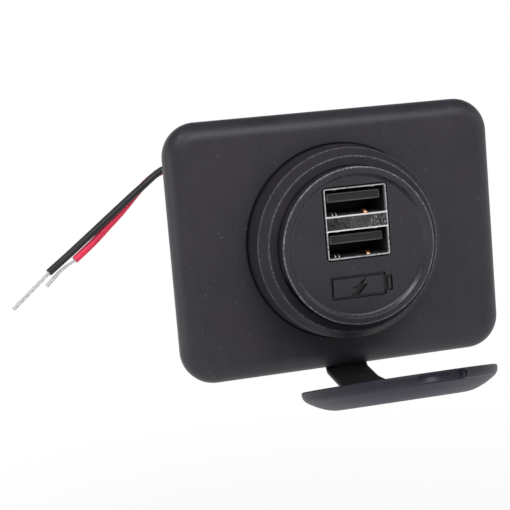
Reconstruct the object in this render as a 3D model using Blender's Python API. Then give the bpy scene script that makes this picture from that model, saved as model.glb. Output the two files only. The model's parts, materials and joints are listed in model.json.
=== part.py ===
"""Dual USB power socket on a rectangular plate, with a dust cap on a strap and two wire leads.

Metres, +Z up, the socket faces -Y. The origin is on the socket's axis, in the plane of the plate's
back rim, which is the plane that lies on the panel.
"""

import math

import bmesh
import bpy
from mathutils import Matrix, Vector

# Clearances between pieces
GAP = 0.0003
SNUG_GAP = 0.00015

# Mounting plate
PLATE_WIDTH = 0.0700
PLATE_HEIGHT = 0.0536
PLATE_DEPTH = 0.0050
PLATE_CORNER = 0.0070
PLATE_FRONT_ROUND = 0.0040
PLATE_FRONT_WALL = 0.0020
PLATE_SIDE_WALL = 0.0022
PLATE_RIB = 0.0012
PLATE_RIB_COUNT = 12
PLATE_COLLAR_WIDTH = 0.0036
PLATE_COLLAR_HEIGHT = 0.0013

# Socket body: stepped flange in front of the plate, barrel behind it
BARREL_RADIUS = 0.0147
BARREL_WALL = 0.0015
BARREL_LENGTH = 0.0280
FLANGE_RIM_WALL = 0.0016
FLANGE_DRAFT = 0.0006
FLANGE_EDGE_HEIGHT = 0.0057
CHAMFER_WIDTH = 0.0016
CHAMFER_HEIGHT = 0.0024
SHOULDER_WIDTH = 0.0020
POCKET_HEIGHT = 0.0015
EDGE_ROUND = 0.0004

# Seal in the flange's back
SEAL_INNER_WALL = 0.0011
SEAL_WIDTH = 0.0026
SEAL_THICKNESS = 0.0009

# Front face piece
BOSS_HEIGHT = 0.00344
FACE_RIM_WIDTH = 0.0013
FACE_CONE_WIDTH = 0.00045
FACE_RECESS = 0.00075
FACE_WALL = 0.0020
FACE_SKIRT_WALL = 0.0018

# Double USB receptacle
SHELL_WIDTH = 0.0131
SHELL_HEIGHT = 0.01425
SHELL_LENGTH = 0.0172
SHELL_EDGE_MARGIN = 0.00047
SHELL_SHEET = 0.0003
SHELL_CORNER = 0.0006
SHELL_PROUD = 0.00015
PORT_HEIGHT = 0.0053
TONGUE_SIDE_GAP = 0.0007
TONGUE_THICKNESS = 0.00184
TONGUE_TOP_GAP = 0.0008
TONGUE_SET_BACK = 0.0013
TONGUE_LENGTH = 0.0088
TAB_WIDTH = 0.0014
TAB_STATIONS = (0.0060, 0.0140)
CONTACT_WIDTH = 0.0009
CONTACT_THICKNESS = 0.00025
CONTACT_STATIONS = (-0.0035, -0.0010, 0.0010, 0.0035)
CONTACT_TIP_SET_BACK = 0.0006
CONTACT_TAIL_OFFSET = 0.0009
CONTACT_TAIL_STEP = 0.0016
CONTACT_TAIL_REACH = 0.0008

# Circuit board
BOARD_THICKNESS = 0.0016
BOARD_SIDE_GAP = 0.0005
BOARD_END_GAP = 0.0015
RAIL_THICKNESS = 0.0012
RAIL_OVERLAP = 0.0012

# Parts on the board: size is across, along the barrel, tall
CHIP_SIZE = (0.0050, 0.0062, 0.0015)
CHIP_BEHIND_SHELL = 0.0070
DIODE_SIZE = (0.0026, 0.0043, 0.0011)
DIODE_X = -0.0022
DIODE_FROM_REAR = 0.0040
FUSE_SIZE = (0.0032, 0.0045, 0.0009)
FUSE_X = 0.0022
FUSE_FROM_REAR = 0.0042
COIL_RADIUS = 0.0028
COIL_HEIGHT = 0.0050
COIL_FROM_REAR = 0.0049
INPUT_CAPACITOR_RADIUS = 0.0025
INPUT_CAPACITOR_HEIGHT = 0.0070
INPUT_CAPACITOR_FROM_REAR = 0.0055
OUTPUT_CAPACITOR_RADIUS = 0.0025
OUTPUT_CAPACITOR_HEIGHT = 0.0080
OUTPUT_CAPACITOR_BEHIND_SHELL = 0.0056
PART_RAIL_GAP = 0.0003
CAPACITOR_CRIMP = 0.0004

# Ring nut on the barrel
NUT_WALL = 0.0039
NUT_VALLEY = 0.0009
NUT_RIBS = 20
NUT_THICKNESS = 0.0060
NUT_WASHER_FACE = 0.0010

# Strap of the dust cap
STRAP_WIDTH = 0.0090
STRAP_THICKNESS = 0.0010
STRAP_RING_WIDTH = 0.0036
STRAP_BEND = 0.00155
STRAP_DROP = 0.0009
STRAP_CAP_BEND = 0.0080
STRAP_CAP_LEAD = 0.0030
STRAP_FLARE = 0.0021
STRAP_FLARE_LENGTH = 0.0038
STRAP_EDGE_ROUND = 0.0003

# Dust cap, open as it hangs on its strap
CAP_OVERHANG = 0.0007
CAP_HOLLOW_DEPTH = 0.0022
CAP_CROWN_WALL = 0.0021
CAP_EDGE_DEPTH = 0.0016
CAP_FLANK_WIDTH = 0.0025
CAP_FLANK_DROP = 0.00155
CAP_SLOPE_WIDTH = 0.0053
CAP_EDGE_ROUND = 0.0008
CAP_SLOPE_ROUND = 0.0030
CAP_MOUTH_CLEARANCE = 0.0007
CAP_FLOOR_CLEARANCE = 0.0004
CAP_FROM_PLATE = 0.01016
CAP_BELOW_PLATE = 0.0015
CAP_OPEN_TILT = math.radians(14.84)
GRIP_WIDTH = 0.0092
GRIP_HEIGHT = 0.0013
GRIP_DEPTH = 0.0009
GRIP_ROUND = 0.0005

# Rear cap and grommet
REAR_CAP_THICKNESS = 0.0020
REAR_PLUG_LENGTH = 0.0030
REAR_PLUG_WALL = 0.0012
GROMMET_ANGLE = math.radians(112.6)
GROMMET_NECK_RADIUS = 0.0030
GROMMET_FLANGE_RADIUS = 0.0040
GROMMET_FLANGE = 0.0010
GROMMET_NOSE = 0.0036
GROMMET_TIP_RADIUS = 0.0024

# Wire leads
WIRE_DIAMETER = 0.0017
CORE_DIAMETER = 0.0010
WIRE_SPACING = 0.0021
WIRE_STEP = 0.0036
CORE_STEP = 0.0024

# Facets
TURN_STEPS = 64
FINE_TURN_STEPS = 28
ARC_STEP = math.radians(31)

# Places that follow from the sizes above
FRONT_Y = -PLATE_DEPTH
COLLAR_END_Y = FRONT_Y + PLATE_FRONT_WALL + PLATE_COLLAR_HEIGHT
PLATE_HOLE_RADIUS = BARREL_RADIUS + GAP
SEAL_INNER_RADIUS = BARREL_RADIUS + SEAL_INNER_WALL
SEAL_OUTER_RADIUS = SEAL_INNER_RADIUS + SEAL_WIDTH
FLANGE_BASE_RADIUS = SEAL_OUTER_RADIUS + FLANGE_RIM_WALL
FLANGE_EDGE_RADIUS = FLANGE_BASE_RADIUS - FLANGE_DRAFT
SHOULDER_RADIUS = FLANGE_EDGE_RADIUS - CHAMFER_WIDTH
SHOULDER_HEIGHT = FLANGE_EDGE_HEIGHT + CHAMFER_HEIGHT
FACE_RADIUS = SHOULDER_RADIUS - SHOULDER_WIDTH
FACE_HEIGHT = SHOULDER_HEIGHT + BOSS_HEIGHT
STRAP_PLANE_Y = COLLAR_END_Y + GAP + STRAP_THICKNESS / 2
NUT_FRONT_Y = STRAP_PLANE_Y + STRAP_THICKNESS / 2 + GAP
FLANGE_BACK_Y = FRONT_Y - GAP
SHOULDER_Y = FRONT_Y - SHOULDER_HEIGHT
FACE_FRONT_Y = FRONT_Y - FACE_HEIGHT
FACE_FLOOR_Y = FACE_FRONT_Y + FACE_RECESS
FACE_BACK_Y = FACE_FLOOR_Y + FACE_WALL
FACE_FLOOR_RADIUS = FACE_RADIUS - FACE_RIM_WIDTH - FACE_CONE_WIDTH
BORE_RADIUS = BARREL_RADIUS - BARREL_WALL
POCKET_RADIUS = FACE_RADIUS + GAP
POCKET_Y = FRONT_Y - POCKET_HEIGHT
SKIRT_END_Y = POCKET_Y - GAP
SKIRT_INNER_RADIUS = FACE_RADIUS - FACE_SKIRT_WALL
SHELL_CORNER_REACH = FACE_FLOOR_RADIUS - SHELL_EDGE_MARGIN
SHELL_RISE = math.sqrt(SHELL_CORNER_REACH ** 2 - SHELL_WIDTH ** 2 / 4) - SHELL_HEIGHT / 2
SHELL_FRONT_Y = FACE_FLOOR_Y - SHELL_PROUD
SHELL_REAR_Y = SHELL_FRONT_Y + SHELL_LENGTH
SHELL_BOTTOM_Z = SHELL_RISE - SHELL_HEIGHT / 2
SHELL_TOP_Z = SHELL_RISE + SHELL_HEIGHT / 2
PORT_WIDTH = SHELL_WIDTH - 2 * SHELL_SHEET
TONGUE_WIDTH = PORT_WIDTH - 2 * TONGUE_SIDE_GAP
LOWER_PORT_Z = SHELL_BOTTOM_Z + SHELL_SHEET
UPPER_PORT_Z = SHELL_TOP_Z - SHELL_SHEET - PORT_HEIGHT
BOARD_TOP_Z = SHELL_BOTTOM_Z - GAP
BOARD_BOTTOM_Z = BOARD_TOP_Z - BOARD_THICKNESS
BOARD_FRONT_Y = FACE_BACK_Y + GAP
BOARD_REAR_Y = BARREL_LENGTH - REAR_PLUG_LENGTH - BOARD_END_GAP
BOARD_WIDTH = 2 * (math.sqrt(BORE_RADIUS ** 2 - BOARD_BOTTOM_Z ** 2) - BOARD_SIDE_GAP)
REAR_CAP_Y = BARREL_LENGTH + GAP
REAR_CAP_END_Y = REAR_CAP_Y + REAR_CAP_THICKNESS
GROMMET_TIP_Y = REAR_CAP_END_Y + GAP + GROMMET_FLANGE + GROMMET_NOSE
WIRE_START_Y = GROMMET_TIP_Y + GAP
REAR_PLUG_RADIUS = BORE_RADIUS - SNUG_GAP
REAR_PLUG_INNER_RADIUS = REAR_PLUG_RADIUS - REAR_PLUG_WALL
GROMMET_OFFSET = REAR_PLUG_INNER_RADIUS - GAP - GROMMET_FLANGE_RADIUS
GROMMET_X = GROMMET_OFFSET * math.cos(GROMMET_ANGLE)
GROMMET_Z = GROMMET_OFFSET * math.sin(GROMMET_ANGLE)
NUT_RADIUS = BARREL_RADIUS + NUT_WALL
CAP_RADIUS = SHOULDER_RADIUS + CAP_OVERHANG
CAP_CROWN_RADIUS = CAP_RADIUS - CAP_SLOPE_WIDTH
CAP_DEPTH = CAP_HOLLOW_DEPTH + CAP_CROWN_WALL
CAP_MOUTH_RADIUS = FACE_RADIUS + CAP_MOUTH_CLEARANCE


# Finishes

def linear(channel):
    """Turns one sRGB channel (0 to 255) into a linear value."""
    value = channel / 255
    if value <= 0.04045:
        return value / 12.92
    return ((value + 0.055) / 1.055) ** 2.4


def finish(name, colour, roughness, metallic=0.0):
    """Makes a Principled material from an sRGB colour."""
    made = bpy.data.materials.new(name)
    made.use_nodes = True
    shader = made.node_tree.nodes["Principled BSDF"]
    shader.inputs["Base Color"].default_value = [*(linear(channel) for channel in colour), 1.0]
    shader.inputs["Roughness"].default_value = roughness
    shader.inputs["Metallic"].default_value = metallic
    made.diffuse_color = shader.inputs["Base Color"].default_value
    return made


# Outlines

def filleted(corners, closed=True):
    """Returns an outline's points with an arc at each corner (a, b, radius) whose radius is not 0."""
    points = []
    count = len(corners)
    for index, (a, b, radius) in enumerate(corners):
        here = Vector((a, b))
        at_end = not closed and index in (0, count - 1)
        if radius == 0 or at_end:
            points.append(here)
            continue
        before = Vector(corners[index - 1][:2]) - here
        after = Vector(corners[(index + 1) % count][:2]) - here
        opening = before.angle(after)
        turn = math.pi - opening
        reach = radius * math.tan(turn / 2)
        bisector = (before.normalized() + after.normalized()).normalized()
        centre = here + bisector * (radius / math.cos(turn / 2))
        start = here + before.normalized() * reach - centre
        steps = max(2, math.ceil(turn / ARC_STEP))
        sign = 1 if before.cross(after) < 0 else -1
        for step in range(steps + 1):
            spin = Matrix.Rotation(sign * turn * step / steps, 2)
            points.append(centre + spin @ start)
    return [(point.x, point.y) for point in points]


def rounded_rectangle(width, height, radius):
    """Returns a rectangle's outline, centred on 0, with round corners."""
    half_width = width / 2
    half_height = height / 2
    return filleted([
        (half_width, half_height, radius),
        (-half_width, half_height, radius),
        (-half_width, -half_height, radius),
        (half_width, -half_height, radius),
    ])


def smooth_route(stations, step):
    """Reads points at about the given step from a smooth curve through the stations."""
    knots = [Vector(station) for station in stations]
    knots = [2 * knots[0] - knots[1], *knots, 2 * knots[-1] - knots[-2]]
    fine = []
    for index in range(1, len(knots) - 2):
        a, b, c, d = knots[index - 1:index + 3]
        for part in range(24):
            t = part / 24
            fine.append(0.5 * (
                2 * b + (c - a) * t + (2 * a - 5 * b + 4 * c - d) * t ** 2
                + (3 * b - a - 3 * c + d) * t ** 3
            ))
    fine.append(knots[-2])
    travelled = [0.0]
    for index in range(1, len(fine)):
        travelled.append(travelled[-1] + (fine[index] - fine[index - 1]).length)
    count = max(2, round(travelled[-1] / step))
    route = []
    place = 0
    for number in range(count + 1):
        wanted = travelled[-1] * number / count
        while place < len(fine) - 2 and travelled[place + 1] < wanted:
            place += 1
        share = (wanted - travelled[place]) / (travelled[place + 1] - travelled[place])
        route.append(fine[place].lerp(fine[place + 1], min(share, 1.0)))
    return route


# Solids

def piece(name, mesh_data, made_of, smooth=True):
    """Turns a bmesh into a named object with its finish."""
    bmesh.ops.remove_doubles(mesh_data, verts=mesh_data.verts, dist=1e-7)
    bmesh.ops.recalc_face_normals(mesh_data, faces=mesh_data.faces)
    mesh = bpy.data.meshes.new(name)
    mesh_data.to_mesh(mesh)
    mesh_data.free()
    if smooth:
        mesh.shade_smooth()
        mesh.set_sharp_from_angle(angle=math.radians(35))
    made = bpy.data.objects.new(name, mesh)
    bpy.context.scene.collection.objects.link(made)
    if made_of is not None:
        mesh.materials.append(made_of)
    return made


def turned(name, outline, made_of, steps=TURN_STEPS, closed=True):
    """Turns an outline of (radius, y) points about the Y axis."""
    shape = bmesh.new()
    verts = [shape.verts.new((radius, y, 0.0)) for radius, y in outline]
    pairs = list(zip(verts, verts[1:]))
    if closed:
        pairs.append((verts[-1], verts[0]))
    edges = [shape.edges.new(pair) for pair in pairs]
    bmesh.ops.spin(
        shape, geom=verts + edges, cent=(0, 0, 0), axis=(0, 1, 0), dvec=(0, 0, 0),
        angle=math.tau, steps=steps, use_merge=True, use_duplicate=False,
    )
    return piece(name, shape, made_of)


def lofted(name, sections, made_of, smooth=True):
    """Joins sections, each a list of 3D points of one count, and closes both ends."""
    shape = bmesh.new()
    rings = [[shape.verts.new(point) for point in section] for section in sections]
    count = len(rings[0])
    for ring, following in zip(rings, rings[1:]):
        for index in range(count):
            beside = (index + 1) % count
            shape.faces.new((ring[index], ring[beside], following[beside], following[index]))
    shape.faces.new(rings[0])
    shape.faces.new(rings[-1])
    return piece(name, shape, made_of, smooth)


def prism(name, outline, low_y, high_y, made_of, centre=(0.0, 0.0)):
    """Extrudes an (x, z) outline along Y."""
    across, up = centre
    sections = [[(across + x, y, up + z) for x, z in outline] for y in (low_y, high_y)]
    return lofted(name, sections, made_of)


def block(name, low, high, made_of):
    """Makes a box between two corners."""
    shape = bmesh.new()
    bmesh.ops.create_cube(shape, size=1.0)
    low = Vector(low)
    high = Vector(high)
    size = high - low
    bmesh.ops.scale(shape, vec=size, verts=shape.verts)
    bmesh.ops.translate(shape, vec=(low + high) / 2, verts=shape.verts)
    return piece(name, shape, made_of, smooth=False)


def ribbon(name, centre_line, half_widths, thickness, made_of):
    """Sweeps a flat strip, round at its edges, along a (y, z) line; its width lies along X."""
    sections = []
    for index, (y, z) in enumerate(centre_line):
        before = Vector(centre_line[max(index - 1, 0)])
        after = Vector(centre_line[min(index + 1, len(centre_line) - 1)])
        along = (after - before).normalized()
        out = Vector((-along.y, along.x))
        edge = rounded_rectangle(2 * half_widths[index], thickness, min(STRAP_EDGE_ROUND, thickness / 3))
        sections.append([(x, y + out.x * lift, z + out.y * lift) for x, lift in edge])
    return lofted(name, sections, made_of)


def strip(name, centre_line, width, thickness, x, made_of):
    """Bends a sheet strip along a (y, z) line with square corners at its bends."""
    sections = []
    last = len(centre_line) - 1
    for index, (y, z) in enumerate(centre_line):
        here = Vector((y, z))
        before = (here - Vector(centre_line[index - 1])).normalized() if index > 0 else None
        after = (Vector(centre_line[index + 1]) - here).normalized() if index < last else None
        along = before or after
        out = Vector((-along.y, along.x))
        if before and after:
            other = Vector((-after.y, after.x))
            out = (out + other) / (1 + out.dot(other))
        low = here - out * thickness / 2
        high = here + out * thickness / 2
        half = width / 2
        sections.append([
            (x - half, low.x, low.y), (x + half, low.x, low.y),
            (x + half, high.x, high.y), (x - half, high.x, high.y),
        ])
    return lofted(name, sections, made_of, smooth=False)


def hide(tool):
    """Marks an object as a tool that shapes another one."""
    tool.hide_render = True
    tool.display_type = "WIRE"


def combine(target, tool, operation):
    """Adds a Boolean of a tool object to a target object."""
    modifier = target.modifiers.new(tool.name, "BOOLEAN")
    modifier.object = tool
    modifier.operation = operation
    modifier.solver = "EXACT"
    hide(tool)


def cut(target, *tools):
    """Cuts tools out of a target."""
    for tool in tools:
        combine(target, tool, "DIFFERENCE")


def weld(target, *tools):
    """Joins tools to a target."""
    for tool in tools:
        combine(target, tool, "UNION")


# Places on the cap and its strap

def closed_cap_centre():
    """Returns the (y, z) of the cap's rim centre when it is pressed over the socket's raised face."""
    return Vector((FACE_FRONT_Y - GAP + CAP_HOLLOW_DEPTH, 0.0))


def open_cap_centre():
    """Returns the (y, z) of the cap's rim centre when it hangs open in front of the plate's lower edge."""
    to_grip, _ = cap_directions()
    rear_edge = Vector((FRONT_Y - CAP_FROM_PLATE, -PLATE_HEIGHT / 2 - CAP_BELOW_PLATE))
    return rear_edge + to_grip * CAP_RADIUS


def swing_centre():
    """Returns the (y, z) about which the open cap turns into its closed place."""
    opened = open_cap_centre()
    closed = closed_cap_centre()
    angle = math.pi / 2 - CAP_OPEN_TILT
    middle = (opened + closed) / 2
    travel = closed - opened
    away = Vector((travel.y, -travel.x)).normalized()
    return middle + away * travel.length / 2 / math.tan(angle / 2)


def cap_directions():
    """Returns the open cap's (y, z) directions towards its grip and out of its mouth."""
    to_grip = Vector((-math.cos(CAP_OPEN_TILT), math.sin(CAP_OPEN_TILT)))
    out_of_mouth = Vector((math.sin(CAP_OPEN_TILT), math.cos(CAP_OPEN_TILT)))
    return to_grip, out_of_mouth


def strap_line():
    """Returns the strap's (y, z) centre line, from the ring behind the plate to inside the cap's rim."""
    to_grip, out_of_mouth = cap_directions()
    opened = open_cap_centre()
    rim = opened - to_grip * CAP_RADIUS - out_of_mouth * STRAP_THICKNESS / 2
    end = rim + to_grip * (CAP_RADIUS - CAP_MOUTH_RADIUS) / 2
    turn_in = rim - to_grip * STRAP_CAP_LEAD
    ring_edge = -(PLATE_HOLE_RADIUS + STRAP_RING_WIDTH / 2)
    drop = -(PLATE_HEIGHT / 2 + STRAP_DROP)
    return filleted([
        (STRAP_PLANE_Y, ring_edge, 0),
        (STRAP_PLANE_Y, drop, STRAP_BEND),
        (turn_in.x, turn_in.y, STRAP_CAP_BEND),
        (end.x, end.y, 0),
    ], closed=False)


def split_line(line, station, gap):
    """Splits a (y, z) line where it passes y = station, leaving a gap; the first half is at higher y."""
    near = []
    far = []
    for a, b in zip(line, line[1:]):
        near.append(a)
        if a[0] > station >= b[0]:
            share = (a[0] - station) / (a[0] - b[0])
            slope = (Vector(b) - Vector(a)).normalized()
            meeting = Vector(a).lerp(Vector(b), share)
            near.append(tuple(meeting - slope * gap / 2))
            far = [tuple(meeting + slope * gap / 2)]
            break
    passed = [point for point in line if point[0] < station]
    return near, far + passed


# Pieces

def make_mounting_plate(plastic):
    """Moulded plate: dished shell with a collar round the hole, radial ribs and the strap's notch."""
    sections = []
    outline_at = []
    steps = 6
    for step in range(steps + 1):
        angle = math.pi / 2 * step / steps
        inset = PLATE_FRONT_ROUND * (1 - math.sin(angle))
        y = FRONT_Y + PLATE_FRONT_ROUND * (1 - math.cos(angle))
        outline_at.append((inset, y))
    outline_at.append((0.0, 0.0))
    for inset, y in outline_at:
        outline = rounded_rectangle(
            PLATE_WIDTH - 2 * inset, PLATE_HEIGHT - 2 * inset, PLATE_CORNER - inset)
        sections.append([(x, y, z) for x, z in outline])
    plate = lofted("mounting_plate", sections, plastic)
    inner = rounded_rectangle(
        PLATE_WIDTH - 2 * PLATE_SIDE_WALL, PLATE_HEIGHT - 2 * PLATE_SIDE_WALL,
        PLATE_CORNER - PLATE_SIDE_WALL)
    hollow = prism("plate_hollow", inner, FRONT_Y + PLATE_FRONT_WALL, PLATE_DEPTH, None)
    cut(plate, hollow)
    collar = turned("plate_collar", [
        (PLATE_HOLE_RADIUS, COLLAR_END_Y),
        (PLATE_HOLE_RADIUS, FRONT_Y + PLATE_FRONT_WALL / 2),
        (PLATE_HOLE_RADIUS + PLATE_COLLAR_WIDTH, FRONT_Y + PLATE_FRONT_WALL / 2),
        (PLATE_HOLE_RADIUS + PLATE_COLLAR_WIDTH, COLLAR_END_Y),
    ], None)
    weld(plate, collar)
    for number in range(PLATE_RIB_COUNT):
        angle = math.tau * (number + 0.5) / PLATE_RIB_COUNT
        weld(plate, make_plate_rib(number, angle))
    hole = turned("plate_hole", [
        (0.0, FRONT_Y - PLATE_DEPTH),
        (PLATE_HOLE_RADIUS, FRONT_Y - PLATE_DEPTH),
        (PLATE_HOLE_RADIUS, PLATE_DEPTH),
        (0.0, PLATE_DEPTH),
    ], None, closed=False)
    half_notch = STRAP_WIDTH / 2 + GAP
    notch = block(
        "plate_notch",
        (-half_notch, STRAP_PLANE_Y - STRAP_THICKNESS / 2 - GAP, -PLATE_HEIGHT),
        (half_notch, PLATE_DEPTH, -PLATE_HEIGHT / 2 + 2 * PLATE_SIDE_WALL), None)
    cut(plate, hole, notch)
    return plate


def make_plate_rib(number, angle):
    """One rib from the collar to the plate's side wall."""
    across = abs(math.cos(angle)) or 1e-9
    rise = abs(math.sin(angle)) or 1e-9
    wall_x = PLATE_WIDTH / 2 - PLATE_SIDE_WALL + GAP
    wall_z = PLATE_HEIGHT / 2 - PLATE_SIDE_WALL + GAP
    reach = min(wall_x / across, wall_z / rise)
    start = PLATE_HOLE_RADIUS + PLATE_COLLAR_WIDTH / 2
    rib = block(
        f"plate_rib_{number + 1}",
        (start, FRONT_Y + PLATE_FRONT_WALL / 2, -PLATE_RIB / 2),
        (reach, COLLAR_END_Y, PLATE_RIB / 2), None)
    rib.data.transform(Matrix.Rotation(-angle, 4, "Y"))
    return rib


def make_socket_body(plastic):
    """Stepped flange and barrel in one moulding, with the receptacle's relief and the board's rails."""
    groove_y = FLANGE_BACK_Y - SEAL_THICKNESS
    profile = filleted([
        (BORE_RADIUS, BARREL_LENGTH, 0),
        (BARREL_RADIUS, BARREL_LENGTH, EDGE_ROUND),
        (BARREL_RADIUS, FLANGE_BACK_Y, 0),
        (SEAL_INNER_RADIUS - GAP, FLANGE_BACK_Y, 0),
        (SEAL_INNER_RADIUS - GAP, groove_y, 0),
        (SEAL_OUTER_RADIUS + GAP, groove_y, 0),
        (SEAL_OUTER_RADIUS + GAP, FLANGE_BACK_Y, 0),
        (FLANGE_BASE_RADIUS, FLANGE_BACK_Y, 0),
        (FLANGE_EDGE_RADIUS, FRONT_Y - FLANGE_EDGE_HEIGHT, EDGE_ROUND),
        (SHOULDER_RADIUS, SHOULDER_Y, EDGE_ROUND),
        (POCKET_RADIUS, SHOULDER_Y, 0),
        (POCKET_RADIUS, POCKET_Y, 0),
        (BORE_RADIUS, POCKET_Y, 0),
    ])
    body = turned("socket_body", profile, plastic)
    wall_middle = BORE_RADIUS + BARREL_WALL / 2
    inner_edge = BOARD_WIDTH / 2 - RAIL_OVERLAP
    for side, word in ((-1, "left"), (1, "right")):
        for low_z, level in (
            (BOARD_BOTTOM_Z - GAP - RAIL_THICKNESS, "lower"),
            (BOARD_TOP_Z + GAP, "upper"),
        ):
            reach = math.sqrt(wall_middle ** 2 - max(abs(low_z), abs(low_z + RAIL_THICKNESS)) ** 2)
            rail = block(
                f"rail_{word}_{level}",
                (min(side * inner_edge, side * reach), POCKET_Y + EDGE_ROUND, low_z),
                (max(side * inner_edge, side * reach), BARREL_LENGTH - REAR_PLUG_LENGTH - GAP - SNUG_GAP,
                 low_z + RAIL_THICKNESS), None)
            weld(body, rail)
    relief = rounded_rectangle(SHELL_WIDTH + 2 * GAP, SHELL_HEIGHT + 2 * GAP, SHELL_CORNER + GAP)
    tool = prism(
        "receptacle_relief", relief, FRONT_Y - FACE_HEIGHT, SHELL_REAR_Y + GAP, None, (0.0, SHELL_RISE))
    cut(body, tool)
    return body


def make_flange_seal(rubber):
    """Flat seal in the groove of the flange's back."""
    low_y = FLANGE_BACK_Y - SEAL_THICKNESS + GAP
    return turned("flange_seal", [
        (SEAL_INNER_RADIUS, FLANGE_BACK_Y),
        (SEAL_INNER_RADIUS, low_y),
        (SEAL_OUTER_RADIUS, low_y),
        (SEAL_OUTER_RADIUS, FLANGE_BACK_Y),
    ], rubber)


def make_socket_face(plastic):
    """Front face piece: rim, sloped step, recessed face with the receptacle's window, skirt."""
    profile = filleted([
        (0.0, FACE_FLOOR_Y, 0),
        (FACE_FLOOR_RADIUS, FACE_FLOOR_Y, 0),
        (FACE_RADIUS - FACE_RIM_WIDTH, FRONT_Y - FACE_HEIGHT, EDGE_ROUND / 2),
        (FACE_RADIUS, FRONT_Y - FACE_HEIGHT, EDGE_ROUND),
        (FACE_RADIUS, SKIRT_END_Y, 0),
        (SKIRT_INNER_RADIUS, SKIRT_END_Y, 0),
        (SKIRT_INNER_RADIUS, FACE_BACK_Y, 0),
        (0.0, FACE_BACK_Y, 0),
    ], closed=False)
    face = turned("socket_face", profile, plastic, closed=False)
    window = rounded_rectangle(
        SHELL_WIDTH + 2 * SNUG_GAP, SHELL_HEIGHT + 2 * SNUG_GAP, SHELL_CORNER + SNUG_GAP)
    tool = prism("face_window", window, FRONT_Y - 2 * FACE_HEIGHT, FRONT_Y, None, (0.0, SHELL_RISE))
    cut(face, tool)
    return face


def make_usb_shell(tin):
    """Folded sheet shell of the double receptacle: two ports, a front web between, four board tabs."""
    outline = rounded_rectangle(SHELL_WIDTH, SHELL_HEIGHT, SHELL_CORNER)
    shell = prism("usb_shell", outline, SHELL_FRONT_Y, SHELL_REAR_Y, tin, (0.0, SHELL_RISE))
    past = SHELL_LENGTH / 4
    half = PORT_WIDTH / 2
    for word, low_z in (("lower", LOWER_PORT_Z), ("upper", UPPER_PORT_Z)):
        outline = rounded_rectangle(PORT_WIDTH, PORT_HEIGHT, SHELL_SHEET)
        port = prism(
            f"{word}_port", outline, SHELL_FRONT_Y - past, SHELL_REAR_Y + past, None,
            (0.0, low_z + PORT_HEIGHT / 2))
        cut(shell, port)
    middle = block(
        "web_hollow",
        (-half, SHELL_FRONT_Y + SHELL_SHEET, LOWER_PORT_Z + PORT_HEIGHT + SHELL_SHEET),
        (half, SHELL_REAR_Y + past, UPPER_PORT_Z - SHELL_SHEET), None)
    cut(shell, middle)
    for side, word in ((-1, "left"), (1, "right")):
        for number, station in enumerate(TAB_STATIONS, start=1):
            inner_x = side * (SHELL_WIDTH / 2 - SHELL_SHEET)
            outer_x = side * SHELL_WIDTH / 2
            tab = block(
                f"shell_tab_{word}_{number}",
                (min(inner_x, outer_x), SHELL_FRONT_Y + station, BOARD_BOTTOM_Z - CONTACT_TAIL_REACH),
                (max(inner_x, outer_x), SHELL_FRONT_Y + station + TAB_WIDTH,
                 SHELL_BOTTOM_Z + SHELL_CORNER + SHELL_SHEET), None)
            weld(shell, tab)
    return shell


def contact_line(low_z, row):
    """Returns a contact's (y, z) line, from its tip under the tongue to its tail below the board."""
    under_tongue = low_z + PORT_HEIGHT - TONGUE_TOP_GAP - TONGUE_THICKNESS
    level = under_tongue + CONTACT_THICKNESS / 2
    tail_y = SHELL_REAR_Y + CONTACT_TAIL_OFFSET + CONTACT_TAIL_STEP * row
    return [
        (SHELL_FRONT_Y + TONGUE_SET_BACK + CONTACT_TIP_SET_BACK, level),
        (tail_y, level),
        (tail_y, BOARD_BOTTOM_Z - CONTACT_TAIL_REACH),
    ]


def make_port_core(word, low_z, row, plastic):
    """Insulator of one port: block at the back, tongue in the upper half, grooves for four contacts."""
    block_y = SHELL_FRONT_Y + TONGUE_SET_BACK + TONGUE_LENGTH
    half = PORT_WIDTH / 2 - SNUG_GAP
    core = block(
        f"port_core_{word}",
        (-half, block_y, low_z + SNUG_GAP),
        (half, SHELL_REAR_Y, low_z + PORT_HEIGHT - SNUG_GAP), plastic)
    tongue_top = low_z + PORT_HEIGHT - TONGUE_TOP_GAP
    tongue = block(
        f"tongue_{word}",
        (-TONGUE_WIDTH / 2, SHELL_FRONT_Y + TONGUE_SET_BACK, tongue_top - TONGUE_THICKNESS),
        (TONGUE_WIDTH / 2, block_y + TONGUE_THICKNESS, tongue_top), None)
    weld(core, tongue)
    for number, x in enumerate(CONTACT_STATIONS, start=1):
        (tip_y, level), (tail_y, _), _ = contact_line(low_z, row)
        groove = block(
            f"groove_{word}_{number}",
            (x - CONTACT_WIDTH / 2 - SNUG_GAP, tip_y - SNUG_GAP, level - CONTACT_THICKNESS),
            (x + CONTACT_WIDTH / 2 + SNUG_GAP, tail_y, level + CONTACT_THICKNESS / 2 + SNUG_GAP), None)
        cut(core, groove)
    return core


def make_contacts(word, low_z, row, gold):
    """Four strip contacts of one port."""
    made = []
    for number, x in enumerate(CONTACT_STATIONS, start=1):
        line = contact_line(low_z, row)
        name = f"contact_{word}_{number}"
        made.append(strip(name, line, CONTACT_WIDTH, CONTACT_THICKNESS, x, gold))
    return made


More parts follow.
